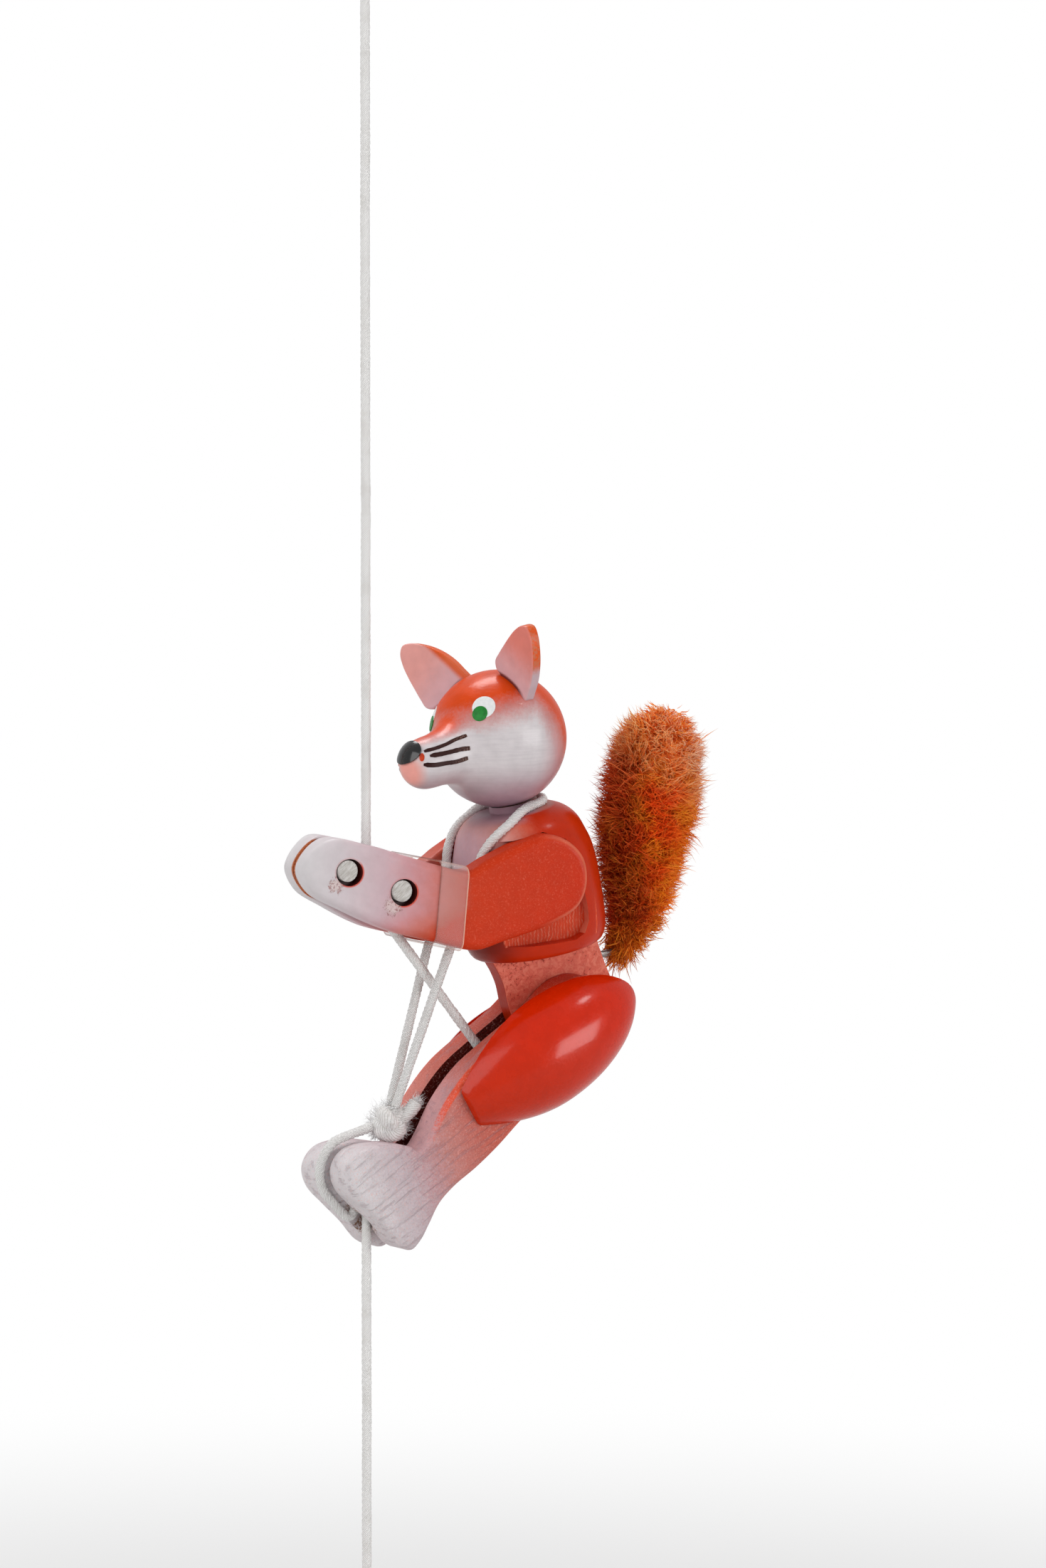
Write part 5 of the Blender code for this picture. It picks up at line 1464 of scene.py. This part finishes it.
def stray_hair(mesh, uv, dice, root, way, length, chance):
    """A short hair that hangs at the foot of the brush."""
    side = way.cross(scatter(dice, 1)).normalized()
    bend = Vector([limited(dice.gauss(0, 0.3), -0.5, 0.5) for _ in range(3)]) * length
    points = [root + way * length * k / 3 + bend * (k / 3) ** 2 for k in range(4)]
    flat_hair(mesh, uv, points, (0.22, 0.27, 0.20), side, chance)


def on_wire(spine, i):
    """Place, thickness and direction of the brush at a step of its spine, and the way across it."""
    a, b = spine[max(i - 1, 0)], spine[min(i + 1, len(spine) - 1)]
    along = Vector((b.x - a.x, 0, b.z - a.z)).normalized()
    return Vector((spine[i].x, 0, spine[i].z)), spine[i].y, along, Vector((along.z, 0, -along.x))


def round_wire(across, angle):
    """The way out from the wire at an angle round it; the brush is a little flat from side to side."""
    return across * math.cos(angle) + Vector((0, 0.92, 0)) * math.sin(angle)


def brush_core(spine):
    """The dense middle of the brush, so that no light shows between its hairs."""
    core = bmesh.new()
    uv = core.loops.layers.uv.new("Hair")
    sides = 20
    rows = []
    for i in range(len(spine)):
        middle, thick, _, across = on_wire(spine, i)
        row = []
        for k in range(sides):
            q = 2 * math.pi * k / sides
            r = thick * (0.66 + 0.12 * noise.noise(Vector((i * 0.35, math.cos(q) * 1.4, math.sin(q) * 1.4))))
            row.append(core.verts.new(place_of(*(middle + round_wire(across, q) * r))))
        rows.append(row)
    for low, high in zip(rows, rows[1:]):
        for k in range(sides):
            face = core.faces.new((low[k], low[(k + 1) % sides], high[(k + 1) % sides], high[k]))
            face.smooth = True
            for loop in face.loops:
                loop[uv].uv = (0.5, 0.12)
    for row, p in ((rows[0], spine[0]), (rows[-1], spine[-1])):
        centre = core.verts.new(place_of(p.x, 0, p.z))
        for k in range(sides):
            core.faces.new((row[k], row[(k + 1) % sides], centre))
    return made_of("Brush_core", core)


def brush_hair(spine, tufts, hairs):
    """Tufts that stand out from the wire, whirled and crimped, and strays at the foot."""
    dice = random.Random(42)
    hair = bmesh.new()
    uv = hair.loops.layers.uv.new("Hair")
    # a thick stretch of the brush gets more tufts than a thin one
    runs = [0.0]
    for a, b in zip(spine, spine[1:]):
        runs.append(runs[-1] + max(0.25, (a.y + b.y) / 2) ** 1.15)
    for _ in range(tufts):
        want = dice.random() * runs[-1]
        i = next(k for k in range(len(runs)) if runs[k] >= want)
        middle, thick, along, across = on_wire(spine, i)
        out = round_wire(across, dice.random() * 2 * math.pi)
        lean = limited(dice.gauss(0.18, 0.35), -0.5, 0.8)
        swing = limited(dice.gauss(0.0, 0.35), -0.6, 0.6)
        around = out.cross(along)
        way = (out + along * lean + around * swing).normalized()
        lump = 1.0 + 0.13 * noise.noise((middle + out * thick) * 0.16)
        whirl = dice.choice((-1, 1)) * dice.uniform(0.6, 1.6)
        chance = dice.random()
        for _ in range(hairs):
            root = middle + out * thick * 0.56 + scatter(dice, 0.75)
            d = (way + scatter(dice, 0.16)).normalized()
            length = thick * (lump - 0.52) * dice.uniform(0.62, 0.97) + 0.3
            turn = (around * whirl + along * limited(dice.gauss(0.1, 0.9), -1.4, 1.4)) * length * 0.36
            side = d.cross(scatter(dice, 1)).normalized()
            other = d.cross(side)
            crimp, start = dice.uniform(0.10, 0.42), dice.uniform(0, 6.28)
            points = []
            for k in range(5):
                f = k / 4
                curl = start + 4.6 * f
                points.append(root + d * length * f + turn * f * f
                              + (side * math.cos(curl) + other * math.sin(curl)) * crimp * (0.6 + f))
            flat_hair(hair, uv, points, (0.20, 0.26, 0.23, 0.15), side,
                      limited(chance + dice.gauss(0, 0.18), 0.0, 1.0))
    for _ in range(90):
        foot = Vector((dice.gauss(65.6, 1.0), dice.gauss(0, 1.6), dice.gauss(60.6, 1.4)))
        hang = Vector((dice.gauss(-0.15, 0.45), dice.gauss(0, 0.5), -1.0)).normalized()
        for _ in range(9):
            stray_hair(hair, uv, dice, foot + scatter(dice, 0.5), (hang + scatter(dice, 0.2)).normalized(),
                       dice.uniform(2.2, 5.2), dice.random())
    return made_of("Brush_hair", hair, outward=False)


class FOX_OT_brush(bpy.types.Operator):
    """Fur brush twisted on its wire"""
    bl_idname = "fox.brush"
    bl_label = "Tail brush"
    bl_options = {"REGISTER", "UNDO"}

    def execute(self, context):
        spine = even_steps([Vector((p.x, p.z, p.y)) for p in curve_through(TAIL_STATIONS, 8)], 0.8)
        sizes, finish = context.scene.fox_sizes, fur_finish()
        dress(brush_core(spine), finish, "upper_body")
        dress(brush_hair(spine, sizes.tufts, sizes.hairs), finish, "upper_body", "tail_brush")
        return {"FINISHED"}


def seen_directly(tree, glossy):
    """Where the camera and clear pieces see a backdrop, and glossy ones that part of it."""
    ray = node(tree, "ShaderNodeLightPath").outputs
    seen = node(tree, "ShaderNodeMath", {0: ray["Is Camera Ray"], 1: ray["Is Transmission Ray"]},
                operation="MAXIMUM")
    return node(tree, "ShaderNodeMath", {0: seen, 1: mask(tree, ray["Is Glossy Ray"], glossy)},
                operation="MAXIMUM")


class FOX_OT_stage(bpy.types.Operator):
    """Pale floor, soft lamps and the camera"""
    bl_idname = "fox.stage"
    bl_label = "Stage"
    bl_options = {"REGISTER", "UNDO"}

    def execute(self, context):
        scene = context.scene
        scene.view_settings.view_transform = "Standard"
        floor_height = place_of(0, 0, -106.0).z
        clear_pick()
        bpy.ops.mesh.primitive_circle_add(vertices=96, radius=2.5, fill_type="NGON", location=(0, 0, floor_height))
        floor = name_it(bpy.context.object, "Floor")
        settle(floor)
        cover = bpy.data.materials.new("White paper floor")
        cover.use_nodes = True
        tree = cover.node_tree
        tree.nodes.clear()
        paper = node(tree, "ShaderNodeBsdfPrincipled", {"Base Color": "#DCDCDB", "Roughness": 0.8})
        glow = node(tree, "ShaderNodeEmission", {0: "#FFFFFF", 1: 1.0})
        at = node(tree, "ShaderNodeTexCoord").outputs["Object"]
        far = (gap_to(tree, at, (0.0, 0.0, floor_height)), 0.10, 0.45, 0.25, 1.0)
        mix = node(tree, "ShaderNodeMixShader", {0: mask(tree, seen_directly(tree, 0.3), far), 1: paper, 2: glow})
        node(tree, "ShaderNodeOutputMaterial", {0: mix})
        wear(floor, cover)
        world = bpy.data.worlds.new("Studio")
        world.use_nodes = True
        scene.world = world
        tree = world.node_tree
        tree.nodes.clear()
        room = node(tree, "ShaderNodeBackground", {0: "#F6F6F8", 1: 0.45})
        sky = node(tree, "ShaderNodeBackground", {0: "#FFFFFF", 1: 1.0})
        mix = node(tree, "ShaderNodeMixShader", {0: seen_directly(tree, 0.3), 1: room, 2: sky})
        node(tree, "ShaderNodeOutputWorld", {0: mix})
        middle = place_of(38.0, 0, 75.0)
        lamps = (("Right_box", (0.58, -1.02, 0.12), 0.70, 0.46, 3.7, True),
                 ("Right_window", (0.58, -1.02, 0.14), 0.74, 0.50, 5.0, False),
                 ("Top_box", (0.12, 0.56, 0.98), 0.44, 0.30, 4.9, True),
                 ("Top_window", (0.12, 0.56, 0.98), 0.60, 0.40, 5.0, False),
                 ("Top_spot", (0.46, -0.42, 1.02), 0.20, 0.14, 1.4, True),
                 ("Left_box", (-1.15, -0.30, 0.60), 0.9, 0.9, 6.4, True))
        for name, (x, y, z), wide, high, power, lights in lamps:
            lamp = bpy.data.lights.new(name, "AREA")
            lamp.shape = "RECTANGLE"
            lamp.size, lamp.size_y = wide, high
            lamp.energy = power
            thing = bpy.data.objects.new(name, lamp)
            thing.location = middle + Vector((x, y, z))
            thing.rotation_euler = (-Vector((x, y, z))).to_track_quat("-Z", "Y").to_euler()
            thing.visible_diffuse = lights
            scene.collection.objects.link(thing)
        azimuth, elevation, distance = math.radians(-30.0), math.radians(6.0), 3.0
        away = Vector((math.sin(azimuth) * math.cos(elevation), -math.cos(azimuth) * math.cos(elevation),
                       math.sin(elevation)))
        target = place_of(30.25, -17.5, 99.6)
        view = bpy.data.cameras.new("Photograph")
        view.sensor_fit = "VERTICAL"
        view.sensor_height = 36.0
        view.lens = 36.0 * (distance + 0.008) / 0.3497
        view.clip_start = 0.01
        camera = bpy.data.objects.new("Photograph", view)
        camera.location = target + away * distance
        camera.rotation_euler = (-away).to_track_quat("-Z", "Y").to_euler()
        scene.collection.objects.link(camera)
        scene.camera = camera
        return {"FINISHED"}


class FOX_PT_pieces(bpy.types.Panel):
    """Buttons for every piece"""
    bl_label = "Climbing fox"
    bl_idname = "FOX_PT_pieces"
    bl_space_type = "VIEW_3D"
    bl_region_type = "UI"
    bl_category = "Fox"

    def draw(self, context):
        column = self.layout.column()
        for name in ("body", "eye"):
            column.prop(context.scene.fox_paint, name)
        for name in ("cord_diameter", "elastic_diameter", "tufts", "hairs"):
            column.prop(context.scene.fox_sizes, name)
        for kind in PIECES:
            column.operator(kind.bl_idname)


PIECES = (FOX_OT_stage, FOX_OT_cord, FOX_OT_waist_cord, FOX_OT_elastic, FOX_OT_head, FOX_OT_face, FOX_OT_ears,
          FOX_OT_torso, FOX_OT_arms, FOX_OT_film, FOX_OT_legs, FOX_OT_thighs, FOX_OT_pins, FOX_OT_bead,
          FOX_OT_brush)
CLASSES = (FoxPaint, FoxSizes) + PIECES + (FOX_PT_pieces,)


def register():
    """Adds the settings, the operators and the panel."""
    for kind in CLASSES:
        bpy.utils.register_class(kind)
    bpy.types.Scene.fox_paint = bpy.props.PointerProperty(type=FoxPaint)
    bpy.types.Scene.fox_sizes = bpy.props.PointerProperty(type=FoxSizes)


def unregister():
    """Takes them away again."""
    del bpy.types.Scene.fox_sizes
    del bpy.types.Scene.fox_paint
    for kind in reversed(CLASSES):
        bpy.utils.unregister_class(kind)


def main():
    """Makes every piece in order."""
    register()
    for kind in PIECES:
        group, name = kind.bl_idname.split(".")
        getattr(getattr(bpy.ops, group), name)()
    clear_pick()


if __name__ == "__main__":
    main()
